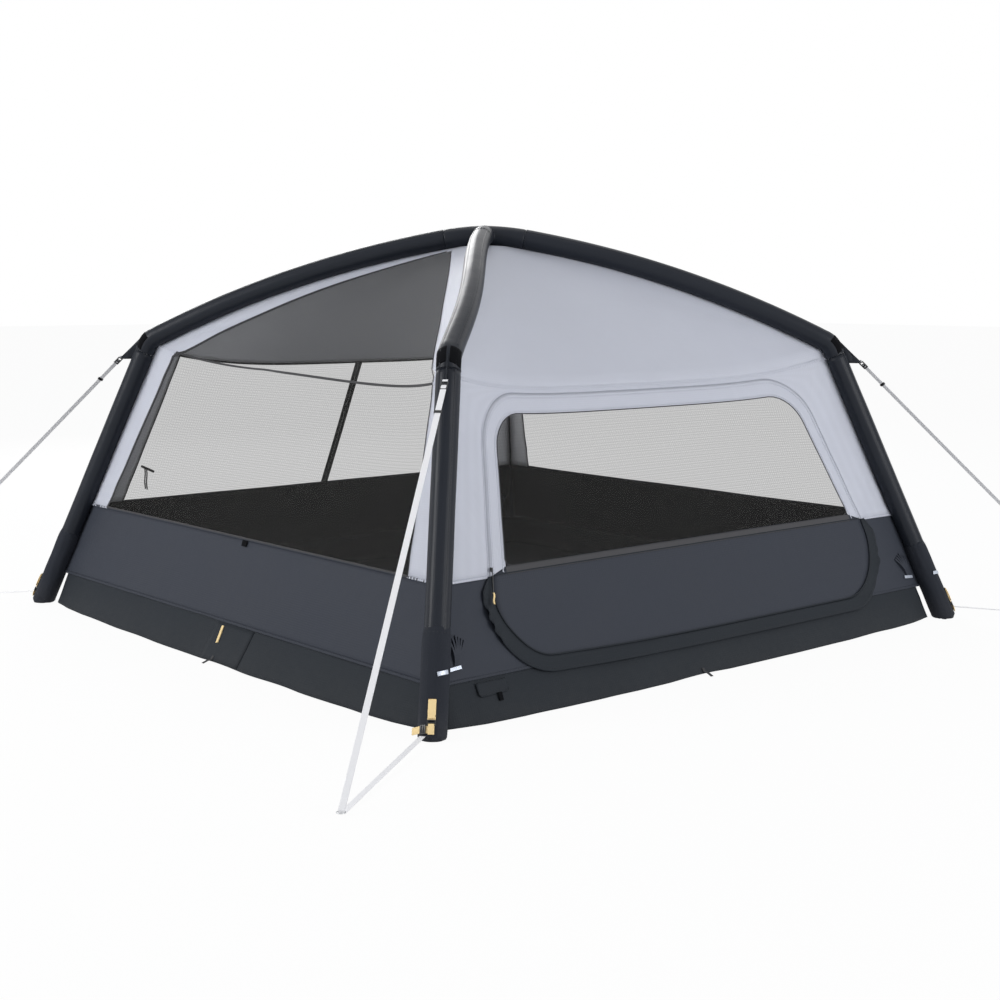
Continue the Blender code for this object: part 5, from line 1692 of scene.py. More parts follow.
class TENT_OT_front_wall(bpy.types.Operator):
    """Makes the front roof, wall and sill round the doorway, with their seams"""

    bl_idname = "tent.front_wall"
    bl_label = "Front wall"

    def execute(self, context):
        columns = context.scene.tent_sizes.wall_columns
        side = "front"
        levels = [FRONT_SEAM_LEVEL, (FRONT_SEAM_LEVEL + 2) / 2] + levels_between(2.0, 2.985, 34)
        rows = spanned_rows(side, levels, lambda l: -edge_share(l), edge_share, columns)
        cloth_panel(
            "front_roof_cloth", side, rows, ["canopy_polyester", "coated_canopy_back"], FRAME, ["roof_front"],
        )
        count = 97
        inner = resampled([skin_place(*point) for point in upper_door_line(0.004)], count)
        levels = levels_between(1.0, FRONT_SEAM_LEVEL, 20)
        left = [(-edge_share(level), level) for level in levels]
        top = level_line(FRONT_SEAM_LEVEL)
        right = [(edge_share(level), level) for level in reversed(levels)]
        outer = resampled(left, 25) + resampled(top, 49)[1:-1] + resampled(right, 25)
        rows = band_rows(side, [tuple(p) for p in inner], [tuple(p) for p in outer], 10)
        cloth_panel(
            "front_wall_cloth", side, rows, ["canopy_polyester", "coated_canopy_back"], FRAME, ["wall_front"],
        )
        inner = resampled([skin_place(*point) for point in lower_door_line(0.004)], 101)
        left = [(-edge_share(level), level) for level in reversed(levels_between(-0.01, 1.0, 12))]
        base = [(share, -0.01) for share, _ in level_line(0.0)]
        right = [(edge_share(level), level) for level in levels_between(-0.01, 1.0, 12)]
        outer = resampled(left, 21) + resampled(base, 61)[1:-1] + resampled(right, 21)
        rows = band_rows(side, [tuple(p) for p in inner], [tuple(p) for p in outer], 7)
        cloth_panel(
            "front_sill_cloth", side, rows, ["slate_polyester", "ground_laminate"], FRAME, ["sill_front"],
        )
        pale, dark = [], []
        seam(pale, FRAME, "pale_thread", side, level_line(FRONT_SEAM_LEVEL))
        edge = edge_share(1.0)
        reach = skin_place(door_half(SILL_HEIGHT), SILL_HEIGHT)[0] + 0.012
        for sign in (-1, 1):
            places = [(sign * (edge + (reach - edge) * k / 6), 1.0) for k in range(7)]
            seam(pale, FRAME, "pale_thread", side, places, 0.010)
        seam(dark, FRAME, "dark_thread", side, level_line(0.0), 0.012, 0.0016)
        piece("front_seams_pale", joined_mesh("seams", pale), ["canopy_polyester"], FRAME, ())
        piece("front_seams_dark", joined_mesh("seams", dark), ["slate_polyester"], FRAME, ())
        return {"FINISHED"}


def door_band(side, inner, outer, columns, rows, lift):
    inner = resampled([skin_place(*point) for point in inner], columns)
    outer = resampled([skin_place(*point) for point in outer], columns)
    return band_rows(side, [tuple(p) for p in inner], [tuple(p) for p in outer], rows, lift)


class TENT_OT_door(bpy.types.Operator):
    """Makes the front door: its pale border, mesh window, slate panel, flap, piping and zip"""

    bl_idname = "tent.door"
    bl_label = "Front door"

    def execute(self, context):
        side, body = "front", "door"
        low = SILL_HEIGHT + 0.002
        inner = [(-door_half(low, WINDOW_BORDER), low)] + [
            point for point in upper_door_line(WINDOW_BORDER) if point[1] > low + 0.01
        ] + [(door_half(low, WINDOW_BORDER), low)]
        outer = upper_door_line(-0.010, low)
        rows = door_band(side, inner, outer, 97, 6, 0.0030)
        rows[-1] = door_band(side, outer, outer, 97, 1, 0.0012)[0]
        cloth_panel(
            "door_border_cloth", side, rows, ["canopy_polyester", "coated_canopy_back"], body, ["door_border"],
        )
        self.window(side)
        rows = self.lower_rows(side)
        cloth_panel(
            "door_panel_cloth", side, rows, ["slate_polyester", "ground_laminate"], body, ["door_lower_panel"],
        )
        self.flap(side)
        self.trims(side)
        self.zip(side)
        return {"FINISHED"}

    def window(self, side):
        """The mesh of the window, in rows between its two edges."""
        loop = window_loop()
        heights = sorted({round(point[1], 4) for point in loop})
        heights += [WINDOW_BOTTOM + 0.02 + 0.03 * k for k in range(16)]
        heights = sorted(h for h in heights if h <= DOOR_TOP - WINDOW_BORDER)
        rows = []
        for height in heights:
            reach = 0.0
            for a, b in zip(loop, loop[1:] + loop[:1]):
                low, high = min(a[1], b[1]), max(a[1], b[1])
                if low - 1e-5 <= height <= high + 1e-5 and a[0] > 0 and b[0] > 0:
                    part = 0.5 if high - low < 1e-6 else (height - a[1]) / (b[1] - a[1])
                    reach = max(reach, a[0] + (b[0] - a[0]) * min(max(part, 0), 1))
            reach = max(reach, 0.02)
            rows.append([skin_spot(side, *skin_place(reach * (2 * k / 40 - 1), height), 0.0022) for k in range(41)])
        return cloth_panel(
            "door_netting", side, rows, ["insect_netting"], "door", ["door_window_mesh"],
            thick=False,
        )

    def lower_rows(self, side):
        """The slate panel below the window, in rows from its rounded bottom to the sill."""
        loop = lower_door_line(-0.004)
        heights = [point[1] for point in loop if point[0] > 0] + [SILL_HEIGHT + 0.03]
        heights = sorted({round(height, 4) for height in heights})
        rows = []
        for height in heights:
            reach = 0.0
            line = [point for point in loop if point[0] > 0]
            for a, b in zip(line, line[1:]):
                low, high = min(a[1], b[1]), max(a[1], b[1])
                if low - 1e-5 <= height <= high + 1e-5:
                    part = 0.5 if high - low < 1e-6 else (height - a[1]) / (b[1] - a[1])
                    reach = max(reach, a[0] + (b[0] - a[0]) * min(max(part, 0), 1))
            if height > SILL_HEIGHT:
                reach = door_half(height, WINDOW_BORDER + 0.004)
            reach = max(reach, loop[len(loop) // 2][0], 0.9)
            rows.append([skin_spot(side, *skin_place(reach * (2 * k / 48 - 1), height), 0.0034) for k in range(49)])
        return rows

    def flap(self, side):
        """The dark flap that hangs round the lower panel, with a wavy free edge."""
        rows = []
        for row in range(7):
            part = row / 6
            line = []
            for along, place, out, rise in self.hem_places(-0.002):
                ends = min(along, 1 - along)
                wide = (0.056 + 0.2 * rise) * min(1, 0.35 + ends * 16)
                wave = math.sin(along * 70) * 0.0018 + noise.noise(Vector((along * 22, 4.2, 0))) * 0.005
                corner = math.exp(-(((along - 0.12) / 0.06) ** 2)) + 0.5 * math.exp(-(((along - 0.86) / 0.04) ** 2))
                wave += corner * (0.012 + 0.010 * math.sin(along * 150))
                share = place[0] + out[0] * wide * part
                level = place[1] + out[1] * wide * part
                lift = 0.0050 + (0.003 + wave) * part**1.5 + (0.012 * max(0, -level) * part)
                line.append(self.over_base(side, share, level, lift))
            rows.append(line)
        cloth_panel(
            "door_flap_cloth", side, rows, ["coated_skirt_cloth"], "door", (),
        )
        outs = [turned(Vector((0, -1, 0.2)).normalized(), side)] * len(rows[-2])
        add_stitches("door", "dark_thread", rows[-2], outs, 0.0012)

    def hem_places(self, inset, count=121):
        """Places round the lower panel, with the way out and how much the hem is drawn up there."""
        places = resampled([skin_place(*point) for point in lower_door_line(inset)], count)
        height = SILL_HEIGHT - BASE_HEIGHT
        result = []
        for index, place in enumerate(places):
            along = index / (count - 1)
            before, after = places[max(index - 1, 0)], places[min(index + 1, count - 1)]
            half = station_at(max(place[1], 0))[0]
            tangent = Vector(((after[0] - before[0]) * half, (after[1] - before[1]) * height))
            out = Vector((tangent.y, -tangent.x)).normalized()
            out = (out.x / half, out.y / height)
            rise = 0.027 * math.exp(-(((along - 0.24) / 0.13) ** 2))
            result.append((along, (place[0] - out[0] * rise, place[1] - out[1] * rise), out, rise))
        return result

    def over_base(self, side, share, level, lift):
        """A point over the wall, or over the skirt below the base seam."""
        if level >= 0:
            return skin_spot(side, share, level, lift)
        drop = -level * (SILL_HEIGHT - BASE_HEIGHT) / BASE_HEIGHT
        return skirt_spot(side, share, min(drop, 1.0), lift + 0.004)

    def trims(self, side):
        """Piping round the lower panel, binding round the window, and the seams of the border."""
        body = "door"
        places = [place for _, place, _, _ in self.hem_places(0.0)]
        path, outs = traced(side, places, 0.0060)
        parts = [strip_mesh("piping", path, outs, 0.0060, 0.0034)]
        sill = [skin_place(door_half(SILL_HEIGHT + 0.004, 0.012) * (2 * k / 40 - 1), SILL_HEIGHT + 0.004) for k in range(41)]
        path, outs = traced(side, sill, 0.0038)
        parts.append(strip_mesh("piping", path, outs, 0.0050, 0.0022))
        add_stitches(body, "dark_thread", path, outs, 0.0020, 0.006)
        piece("door_piping", joined_mesh("piping", parts), ["coated_skirt_cloth"], body, ())

        places = [tuple(p) for p in resampled([skin_place(*point) for point in window_loop(-0.002) + window_loop(-0.002)[:1]], 161)]
        path, outs = traced(side, places, 0.0036)
        piece("window_binding", strip_mesh("binding", path, outs, 0.0045, 0.0012), ["bias_tape"], body, ())

        hem = []
        heights = (WINDOW_BOTTOM - 0.016,)
        for height in heights:
            places = [skin_place(door_half(height, WINDOW_BORDER + 0.002) * (2 * k / 40 - 1), height) for k in range(41)]
            path, outs = traced(side, places, 0.0030)
            hem.append(strip_mesh("hem", path, outs, 0.034, 0.0010))
            add_stitches(body, "dark_thread", path, outs, 0.0016, 0.013)
        piece("window_hem", joined_mesh("hem", hem), ["doubled_netting"], body, ())

        pale = []
        for inset, wide in ((0.004, 0.006), (0.060, 0.005)):
            line = upper_door_line(inset, SILL_HEIGHT + 0.01)
            places = [tuple(p) for p in resampled([skin_place(*point) for point in line], 141)]
            path, outs = traced(side, places, 0.0036)
            pale.append(strip_mesh("fold", path, outs, wide, 0.0009))
            add_stitches(body, "pale_thread", path, outs, 0.0014, 0.005)
        piece("door_folds", joined_mesh("folds", pale), ["canopy_polyester"], body, ())

    def zip(self, side):
        """The zip under the flap: its tape and its slider with a cord pull; the teeth are laid later with the
        stitches.
        """
        line = upper_door_line(-0.016)
        places = [tuple(p) for p in resampled([skin_place(*point) for point in line], 141)]
        path, outs = traced(side, places, 0.0009)
        piece("door_zip_tape", strip_mesh("tape", path, outs, 0.006, 0.0008), ["canopy_polyester"], FRAME, ())
        add_stitches(FRAME, "pale_thread", path, outs, 0.0012, 0.006)
        make_slider("door_slider", "door_zip_slider", "door_zip", Vector((0, -1, 0.3)))


def make_slider(name, node, body, outward):
    """A zip slider with a domed body, a bridge and a cord pull, where its solid is."""
    low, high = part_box(node)
    low, high = Vector(low), Vector(high)
    centre = (low + high) / 2
    out = Vector((0, math.copysign(1, outward.y), 0))
    top = Vector((centre.x, centre.y, high.z - 0.010))
    up = Vector((0.26, 0.37, 0.89)) if node == "door_zip_slider" else Vector((0, -0.453, 0.891))
    up.normalize()
    right = up.cross(out).normalized()
    face = right.cross(up).normalized()
    matrix = Matrix.Translation(top) @ Matrix((right, up, face)).transposed().to_4x4()
    boxes = [
        ((0.012, 0.018, 0.0022), (0, 0, -0.0020)),
        ((0.010, 0.014, 0.0018), (0, 0.001, 0.0022)),
        ((0.004, 0.010, 0.0030), (0, 0, 0.0042)),
    ]
    body_mesh = bevelled_bars("slider", boxes, matrix, 0.0007)
    pull = bevelled_bars("pull", [((0.0060, 0.034, 0.0020), (0, -0.018, 0.0052))], matrix, 0.0008)
    if node == "door_zip_slider":
        path = [matrix @ Vector((0, -0.096 - 0.0065 * k, 0.0068 + 0.002 * math.sin(k))) for k in range(8)]
        tab = strip_mesh("tab", path, [face] * 8, 0.009, 0.0018)
        pull = bevelled_bars("pull", [((0.004, 0.090, 0.002), (0, -0.052, 0.0052))], matrix, 0.0008)
        piece("door_zip_tab", tab, ["orange_webbing"], body, ())
    return piece(name, joined_mesh(name, [body_mesh, pull]), ["moulded_acetal"], body, [node])


def mesh_wall_trims(name, side, tapes, top_level):
    """Bindings along the mesh's edges and the sill of one mesh wall."""
    parts = []
    for sign in (-1, 1):
        places = share_line(lambda l: mesh_edge(side, sign, l), 1.0, top_level, 40)
        path, outs = traced(side, places, 0.0012)
        width = 0.003 if (side, sign) == ("left", 1) else 0.015
        parts.append(strip_mesh("binding", path, outs, width, 0.0014))
        add_stitches(FRAME, "dark_thread", path, outs, 0.0020, 0.0)
    first, last = mesh_edge(side, -1, 1.0), mesh_edge(side, 1, 1.0)
    places = [(first + (last - first) * k / 40, 1.004) for k in range(41)]
    path, outs = traced(side, places, 0.0012)
    parts.append(strip_mesh("binding", path, outs, 0.008, 0.0014))
    piece(name, joined_mesh("bindings", parts + tapes), ["bias_tape"], FRAME, ())


class TENT_OT_left_wall(bpy.types.Operator):
    """Makes the left wall: mesh from the sill to the hub between two pale strips"""

    bl_idname = "tent.left_wall"
    bl_label = "Left wall"

    def execute(self, context):
        side = "left"
        sill_panel(side, "left_sill_cloth", ["sill_left"])
        levels = levels_between(1.0, 2.0, 20) + levels_between(2.0, 2.985, 40)[1:]
        strips = []
        outward = turned(Vector((0, -1, 0.3)), side)
        for sign in (-1, 1):
            rows = spanned_rows(
                side, levels, lambda l: mesh_edge(side, sign, l), lambda l: cloth_edge(side, sign, l), 8
            )
            strips.append(sheet_mesh("strip", rows, outward))
        item = piece(
            "left_strips_cloth", joined_mesh("left_strips_cloth", strips, 0.00005),
            ["canopy_polyester", "coated_canopy_back"], FRAME, ["left_border"],
        )
        declare(item, side)
        thicken(item, context.scene.tent_sizes.cloth_thickness)
        top_level = mesh_top(side)
        levels = levels_between(1.0, 2.0, 20) + levels_between(2.0, top_level, 24)[1:]
        rows = spanned_rows(
            side, levels, lambda l: mesh_edge(side, -1, l), lambda l: mesh_edge(side, 1, l), 48, -0.0006
        )
        cloth_panel(
            "left_netting", side, rows, ["insect_netting"], FRAME, ["left_mesh"],
            thick=False,
        )
        tapes = []
        first, last = mesh_edge(side, -1, 2.0), mesh_edge(side, 1, 2.0)
        shares = [first + (last - first) * k / 48 for k in range(49)]
        path, outs = traced(side, [(share, self.tape_level(share)) for share in shares], 0.0004)
        tapes.append(strip_mesh("tape", path, outs, 0.012, 0.0016))
        mesh_wall_trims("left_bindings", side, tapes, top_level)
        pale, dark = [], []
        for sign in (-1, 1):
            for level, width in ((2.0, 0.012), (1.0, 0.010)):
                outer, inner = cloth_edge(side, sign, level), mesh_edge(side, sign, level)
                shares = [outer + (inner - outer) * k / 6 for k in range(7)]
                places = [(share, self.tape_level(share) if level == 2.0 else level) for share in shares]
                seam(pale, FRAME, "pale_thread", side, places, width)
        seam(dark, FRAME, "dark_thread", side, level_line(1.0), 0.010)
        seam(dark, FRAME, "dark_thread", side, level_line(0.0), 0.012, 0.0016)
        piece("left_seams_pale", joined_mesh("seams", pale), ["canopy_polyester"], FRAME, ())
        piece("left_seams_dark", joined_mesh("seams", dark), ["slate_polyester"], FRAME, ())
        return {"FINISHED"}

    def tape_level(self, share):
        """The shoulder tape drops towards the front corner."""
        return 2.006 - 0.055 * max(share + 0.3, 0)


def canopy(side, name, node):
    """Roof and side strips of a mesh wall as one cloth."""
    outward = turned(Vector((0, -1, 0.3)), side)
    columns = bpy.context.scene.tent_sizes.wall_columns
    meshes = []
    levels = [HEM_LEVEL] + levels_between(2.0, 2.985, 34)
    rows = spanned_rows(side, levels, lambda l: -edge_share(l), edge_share, columns)
    meshes.append(sheet_mesh("roof", rows, outward))
    for sign in (-1, 1):
        rows = spanned_rows(
            side, levels_between(1.0, HEM_LEVEL, 20), lambda l: sign * strip_share(l),
            lambda l: sign * edge_share(l), 8,
        )
        meshes.append(sheet_mesh("strip", rows, outward))
    item = piece(
        name, joined_mesh(name, meshes, 0.00005), ["canopy_polyester", "coated_canopy_back"], FRAME, [node],
    )
    declare(item, side)
    thicken(item, bpy.context.scene.tent_sizes.cloth_thickness)
    pale, dark = [], []
    seam(pale, FRAME, "pale_thread", side, level_line(2.0))
    seam(dark, FRAME, "dark_thread", side, level_line(1.0), 0.010)
    seam(dark, FRAME, "dark_thread", side, level_line(0.0), 0.012, 0.0016)
    piece(side + "_seams_pale", joined_mesh("seams", pale), ["canopy_polyester"], FRAME, ())
    piece(side + "_seams_dark", joined_mesh("seams", dark), ["slate_polyester"], FRAME, ())
    places = [(strip_share(HEM_LEVEL) * (2 * k / 48 - 1), HEM_LEVEL) for k in range(49)]
    path, outs = traced(side, places, 0.0012)
    mesh_wall_trims(side + "_bindings", side, [strip_mesh("tape", path, outs, 0.010, 0.0016)], HEM_LEVEL)
    return item


class TENT_OT_right_wall(bpy.types.Operator):
    """Makes the right wall: roof, strips and one panel of mesh"""

    bl_idname = "tent.right_wall"
    bl_label = "Right wall"

    def execute(self, context):
        side = "right"
        sill_panel(side, "right_sill_cloth", ["sill_right"])
        canopy(side, "right_canopy_cloth", "right_canopy")
        rows = spanned_rows(
            side, levels_between(1.0, HEM_LEVEL, 22), lambda l: -strip_share(l), strip_share, 48, -0.0006
        )
        cloth_panel(
            "right_netting", side, rows, ["insect_netting"], FRAME, ["right_mesh"],
            thick=False,
        )
        return {"FINISHED"}


class TENT_OT_back_wall(bpy.types.Operator):
    """Makes the back wall: roof, strips, two mesh leaves, their zip and the ties"""

    bl_idname = "tent.back_wall"
    bl_label = "Back wall"

    def execute(self, context):
        side = "back"
        sill_panel(side, "back_sill_cloth", ["sill_back"])
        canopy(side, "back_canopy_cloth", "back_canopy")
        for name, sign in (("left", 1), ("right", -1)):
            body = "leaf_" + name
            rows = spanned_rows(
                side, levels_between(1.0, HEM_LEVEL, 22), lambda l: sign * 0.0015,
                lambda l: sign * strip_share(l), 26, -0.0006,
            )
            cloth_panel(
                "leaf_netting_" + name, side, rows, ["insect_netting"], body, ["back_leaf_" + name],
                thick=False,
            )
            tape = []
            places = share_line(lambda l: sign * 0.0118 / station_at(l)[0], 1.0, HEM_LEVEL, 30)
            path, outs = traced(side, places, 0.0004)
            tape.append(strip_mesh("tape", path, outs, 0.0232, 0.0010))
            add_stitches(body, "dark_thread", path, outs, 0.0014, 0.008)
            places = [(sign * strip_share(HEM_LEVEL) * k / 24, HEM_LEVEL - 0.006) for k in range(25)]
            path, outs = traced(side, places, 0.0004)
            tape.append(strip_mesh("tape", path, outs, 0.012, 0.0010))
            piece("leaf_tape_" + name, joined_mesh("leaf_tape", tape), ["bias_tape"], body, ())
        make_slider("back_slider", "back_zip_slider", "back_zip", Vector((0, 1, 0.3)))
        self.ties()
        return {"FINISHED"}

    def ties(self):
        """Two toggles on loops that hold the rolled leaves."""
        for sign in (-1, 1):
            first = skin_spot("back", sign * 0.8775, 1.255, -0.016)
            last = skin_spot("back", sign * 0.805, 1.205, -0.016)
            along = (last - first).normalized()
            inward = Vector((0, -1, 0))
            matrix = Matrix.Translation((first + last) / 2) @ Matrix(
                (along, inward.cross(along).normalized(), inward)
            ).transposed().to_4x4()
            toggle = bevelled_bars("toggle", [((0.086, 0.013, 0.013), (0, 0, 0))], matrix, 0.004)
            loops = []
            for aside in (0.30, 0.42):
                top = first.lerp(last, aside)
                path = [top + Vector((0, -0.004 * math.sin(k), -0.016 * k)) for k in range(8)]
                loops.append(strip_mesh("tie", path, [inward] * 8, 0.007, 0.0016))
            name = "right" if sign < 0 else "left"
            piece("tie_toggle_" + name, toggle, ["moulded_acetal"], FRAME, ())
            piece("tie_loops_" + name, joined_mesh("ties", loops), ["bias_tape"], FRAME, ())


# Skirts, patches and flap


def skirt_spot(side, share, drop, lift=0.0):
    """A point of the skirt: drop 0 is the base seam and 1 the hem."""
    top = wall_station(BASE_HEIGHT)
    low_half = leg_point(HEM_LIFT, -CORNER_OFFSET).x / ROOT2
    fade = 1 - min(abs(share), 1) ** SAG_POWER
    high = Vector((share * top[0], -top[0], BASE_HEIGHT))
    low = Vector((share * low_half, -(low_half + SKIRT_FLARE * fade), HEM_LIFT))
    out = Vector((0, -0.95, 0.3)).normalized()
    seed = SIDES[side]
    x = share * top[0]
    wave = noise.noise(Vector((x * 3.2 + seed, drop * 0.6, 1.7))) * 0.012 * drop
    wave += math.sin(x * 17 + seed) * 0.0022 * drop**2
    ends = max(0.0, abs(share) - 0.86) / 0.14
    wave += math.sin(x * 46 + seed) * 0.006 * ends * drop - 0.010 * ends * drop
    spot = high.lerp(low, drop) + out * (wave + lift)
    rise = max(0.0, noise.noise(Vector((x * 2.6 + seed, 8.0, 0)))) * 0.010 * drop**3 + 0.008 * ends * drop**2
    spot.z = max(spot.z + rise, 0.0015)
    return turned(spot, side)


def skirt_edge(side, sign, drop):
    """Where the skirt meets the boot, as a share; a slit opens beside every boot but the front left one."""
    open_slit = 0 if (side, sign) in (("front", -1), ("left", 1)) else 0.014
    return sign * (0.968 - open_slit * max(0, drop - 0.35))


class TENT_OT_skirts(bpy.types.Operator):
    """Makes the mud skirts, peg patches and loops, and the cable flap"""

    bl_idname = "tent.skirts"
    bl_label = "Skirts"

    def execute(self, context):
        columns = context.scene.tent_sizes.wall_columns * 2
        for side in SIDES:
            rows = []
            for row in range(13):
                drop = 1 - row / 12
                low, high = skirt_edge(side, -1, drop), skirt_edge(side, 1, drop)
                rows.append([skirt_spot(side, low + (high - low) * c / columns, drop) for c in range(columns + 1)])
            cloth_panel(
                side + "_skirt_cloth", side, rows, ["coated_skirt_cloth"], FRAME, ["skirt_" + side],
            )
            for drop in (0.93, 0.06):
                low, high = skirt_edge(side, -1, drop), skirt_edge(side, 1, drop)
                path = [skirt_spot(side, low + (high - low) * c / 90, drop, 0.0004) for c in range(91)]
                outs = [turned(Vector((0, -0.95, 0.3)).normalized(), side)] * 91
                add_stitches(FRAME, "dark_thread", path, outs, 0.0006)
        self.patches()
        self.cable_flap()
        return {"FINISHED"}

    def patches(self):
        """A peg loop on each skirt, with a doubled patch and an orange pull on the left one."""
        cloth, loops = [], []
        for side, centre in (("left", 0.155), ("front", -0.116), ("right", 0.0), ("back", 0.0)):
            half = wall_station(BASE_HEIGHT)[0]
            rows = []
            for row in range(9):
                drop = 0.97 - 0.92 * row / 8
                rows.append([skirt_spot(side, (centre + 0.155 * (k / 12 - 0.5) * 2) / half, drop, 0.0022) for k in range(13)])
            if side == "left":
                cloth.append(sheet_mesh("patch", rows, turned(Vector((0, -1, 0.3)), side)))
            outs = [turned(Vector((0, -0.95, 0.3)).normalized(), side)] * 9
            spots = []
            for lift, drop in ((0.003, 0.86), (0.004, 0.95), (0.020, 1.0), (0.045, 1.0)):
                spot = skirt_spot(side, (centre - 0.055) / half, drop, lift)
                spot.z = max(0.004 if lift == 0.045 else spot.z, 0.004)
                spots.append(spot)
            loops.append(strip_mesh("loop", spots, outs[:4], 0.016, 0.0016))
        item = piece("peg_patch", joined_mesh("peg_patch", cloth), ["coated_skirt_cloth"], FRAME, ())
        thicken(item, 0.0016, False)
        piece("peg_loops", joined_mesh("peg_loops", loops), ["bias_tape"], FRAME, ())
        half = wall_station(BASE_HEIGHT)[0]
        path = [skirt_spot("left", (0.065 + 0.014 * k / 5) / half, 0.12 + 0.42 * k / 5, 0.0044) for k in range(6)]
        outs = [turned(Vector((0, -0.95, 0.3)).normalized(), "left")] * 6
        piece("orange_pull", strip_mesh("pull", path, outs, 0.018, 0.0022), ["orange_webbing"], FRAME, ())
        path = [skin_spot("left", 0.035, 0.985 - 0.024 * k, 0.0050) for k in range(4)]
        outs = [turned(Vector((0, -1, 0.1)).normalized(), "left")] * 4
        piece("sill_tab", strip_mesh("tab", path, outs, 0.042, 0.0030), ["loop_pile"], FRAME, ())

    def cable_flap(self):
        """The flap over the cable entry on the front skirt."""
        low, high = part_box("cable_flap")
        low, high = Vector(low), Vector(high)
        rows = []
        for row in range(9):
            part = row / 8
            line = []
            for k in range(13):
                share = k / 12
                round_off = 0.010 * max(0, abs(share - 0.5) - 0.42) / 0.08 * (1 - part)
                spot = Vector((
                    low.x + (high.x - low.x) * share,
                    low.y + (high.y - low.y) * part * 0.9,
                    low.z + (high.z - low.z) * part + round_off * (1 - part),
                ))
                spot.y -= 0.0016 * math.sin(share * 7 + part * 2) * (1 - part) + 0.001
                line.append(spot)
            rows.append(line)
        item = piece(
            "cable_flap_cloth", sheet_mesh("cable_flap_cloth", rows, Vector((0, -1, 0))), ["coated_skirt_cloth"],
            "flap", ["cable_flap"],
        )
        thicken(item, 0.0016, False)
        at = low.x + (high.x - low.x) * 0.66
        path = [Vector((at, low.y - 0.004 - 0.004 * k, low.z + 0.006 - 0.010 * k)) for k in range(4)]
        tab = strip_mesh("tab", path, [Vector((0, -1, 0.3)).normalized()] * 4, 0.022, 0.003)
        piece("cable_flap_tab", tab, ["loop_pile"], "flap", ())
        outs = [Vector((0, -1, 0.3)).normalized()] * 13
        add_stitches("flap", "dark_thread", rows[1], outs, 0.0010)
        add_stitches(FRAME, "dark_thread", rows[-1], outs, 0.0010)


class TENT_OT_groundsheet(bpy.types.Operator):
    """Makes the groundsheet: a soft tray turned up to the base seam"""

    bl_idname = "tent.groundsheet"
    bl_label = "Groundsheet"

    def execute(self, context):
        steps = 128

        def outline(half, radius):
            corners = [(-half, -half), (half, -half), (half, half), (-half, half)]
            return resampled(rounded(corners, [radius] * 4, 8) + rounded(corners, [radius] * 4, 8)[:1], steps + 1)

        rim = wall_station(BASE_HEIGHT)[0] - 0.004
        rows = []
        for ring in range(1, 25):
            part = ring / 24
            line = []
            for point in outline(rim * part, 0.13 * part):
                bumps = noise.noise(Vector((point.x * 2.2, point.y * 2.2, 5))) * 0.006
                bumps += noise.noise(Vector((point.x * 8, point.y * 8, 9))) * 0.002
                line.append(Vector((point.x, point.y, 0.007 + max(bumps, -0.003))))
            rows.append(line)
        for up in (0.2, 0.45, 0.72, 1.0):
            rows.append([Vector((p.x, p.y, 0.007 + (BASE_HEIGHT - 0.008) * up)) for p in outline(rim + 0.001 * up, 0.13)])
        mesh = sheet_mesh("groundsheet_cloth", rows)
        work = bmesh.new()
        work.from_mesh(mesh)
        bmesh.ops.remove_doubles(work, verts=work.verts, dist=0.00005)
        rims = [edge for edge in work.edges if edge.is_boundary and edge.verts[0].co.z < 0.05]
        bmesh.ops.holes_fill(work, edges=rims)
        bmesh.ops.recalc_face_normals(work, faces=work.faces)
        if sum(face.normal.z * face.calc_area() for face in work.faces) > 0:
            bmesh.ops.reverse_faces(work, faces=work.faces)
        work.to_mesh(mesh)
        work.free()
        item = piece("groundsheet_cloth", mesh, ["ground_laminate"], FRAME, ["groundsheet"])
        thicken(item, 0.0012, False)
        return {"FINISHED"}


# Valve and bladder


class TENT_OT_valve(bpy.types.Operator):
    """Finishes the valve, its cap and the bladder"""

    bl_idname = "tent.valve"
    bl_label = "Valve"

    def execute(self, context):
        for node in ("valve_body", "valve_cap"):
            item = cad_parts[node]
            item.data.materials.clear()
            item.data.materials.append(material("moulded_acetal"))
        self.bladder()
        return {"FINISHED"}

    def bladder(self):
        """The bladder's film, bowed along with the front left arm."""
        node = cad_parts["air_bladder"]
        mesh = node.data.copy()
        mesh.transform(node.matrix_world)
        turn = Matrix.Rotation(math.radians(LEGS["front_left"]), 3, "Z")
        for vertex in mesh.vertices:
            spot = turn.inverted() @ vertex.co
            if spot.x > HUB_REACH - TUBE_RADIUS and abs(spot.y) < 2 * TUBE_RADIUS:
                run = nearest_run(Vector((spot.x, spot.z)))
                bow = arm_bow((run - BEND_RUN) / (HUB_SEAM_RUN - BEND_RUN))
                vertex.co += turn @ Vector((0, bow, 0))
        piece("air_bladder_film", mesh, ["bladder_film"], FRAME, ["air_bladder"])


# Stitches and zip teeth, made by Geometry Nodes


def socket(tree, name, kind, default=None):
    item = tree.interface.new_socket(name, in_out="INPUT", socket_type=kind)
    if default is not None:
        item.default_value = default
    return item


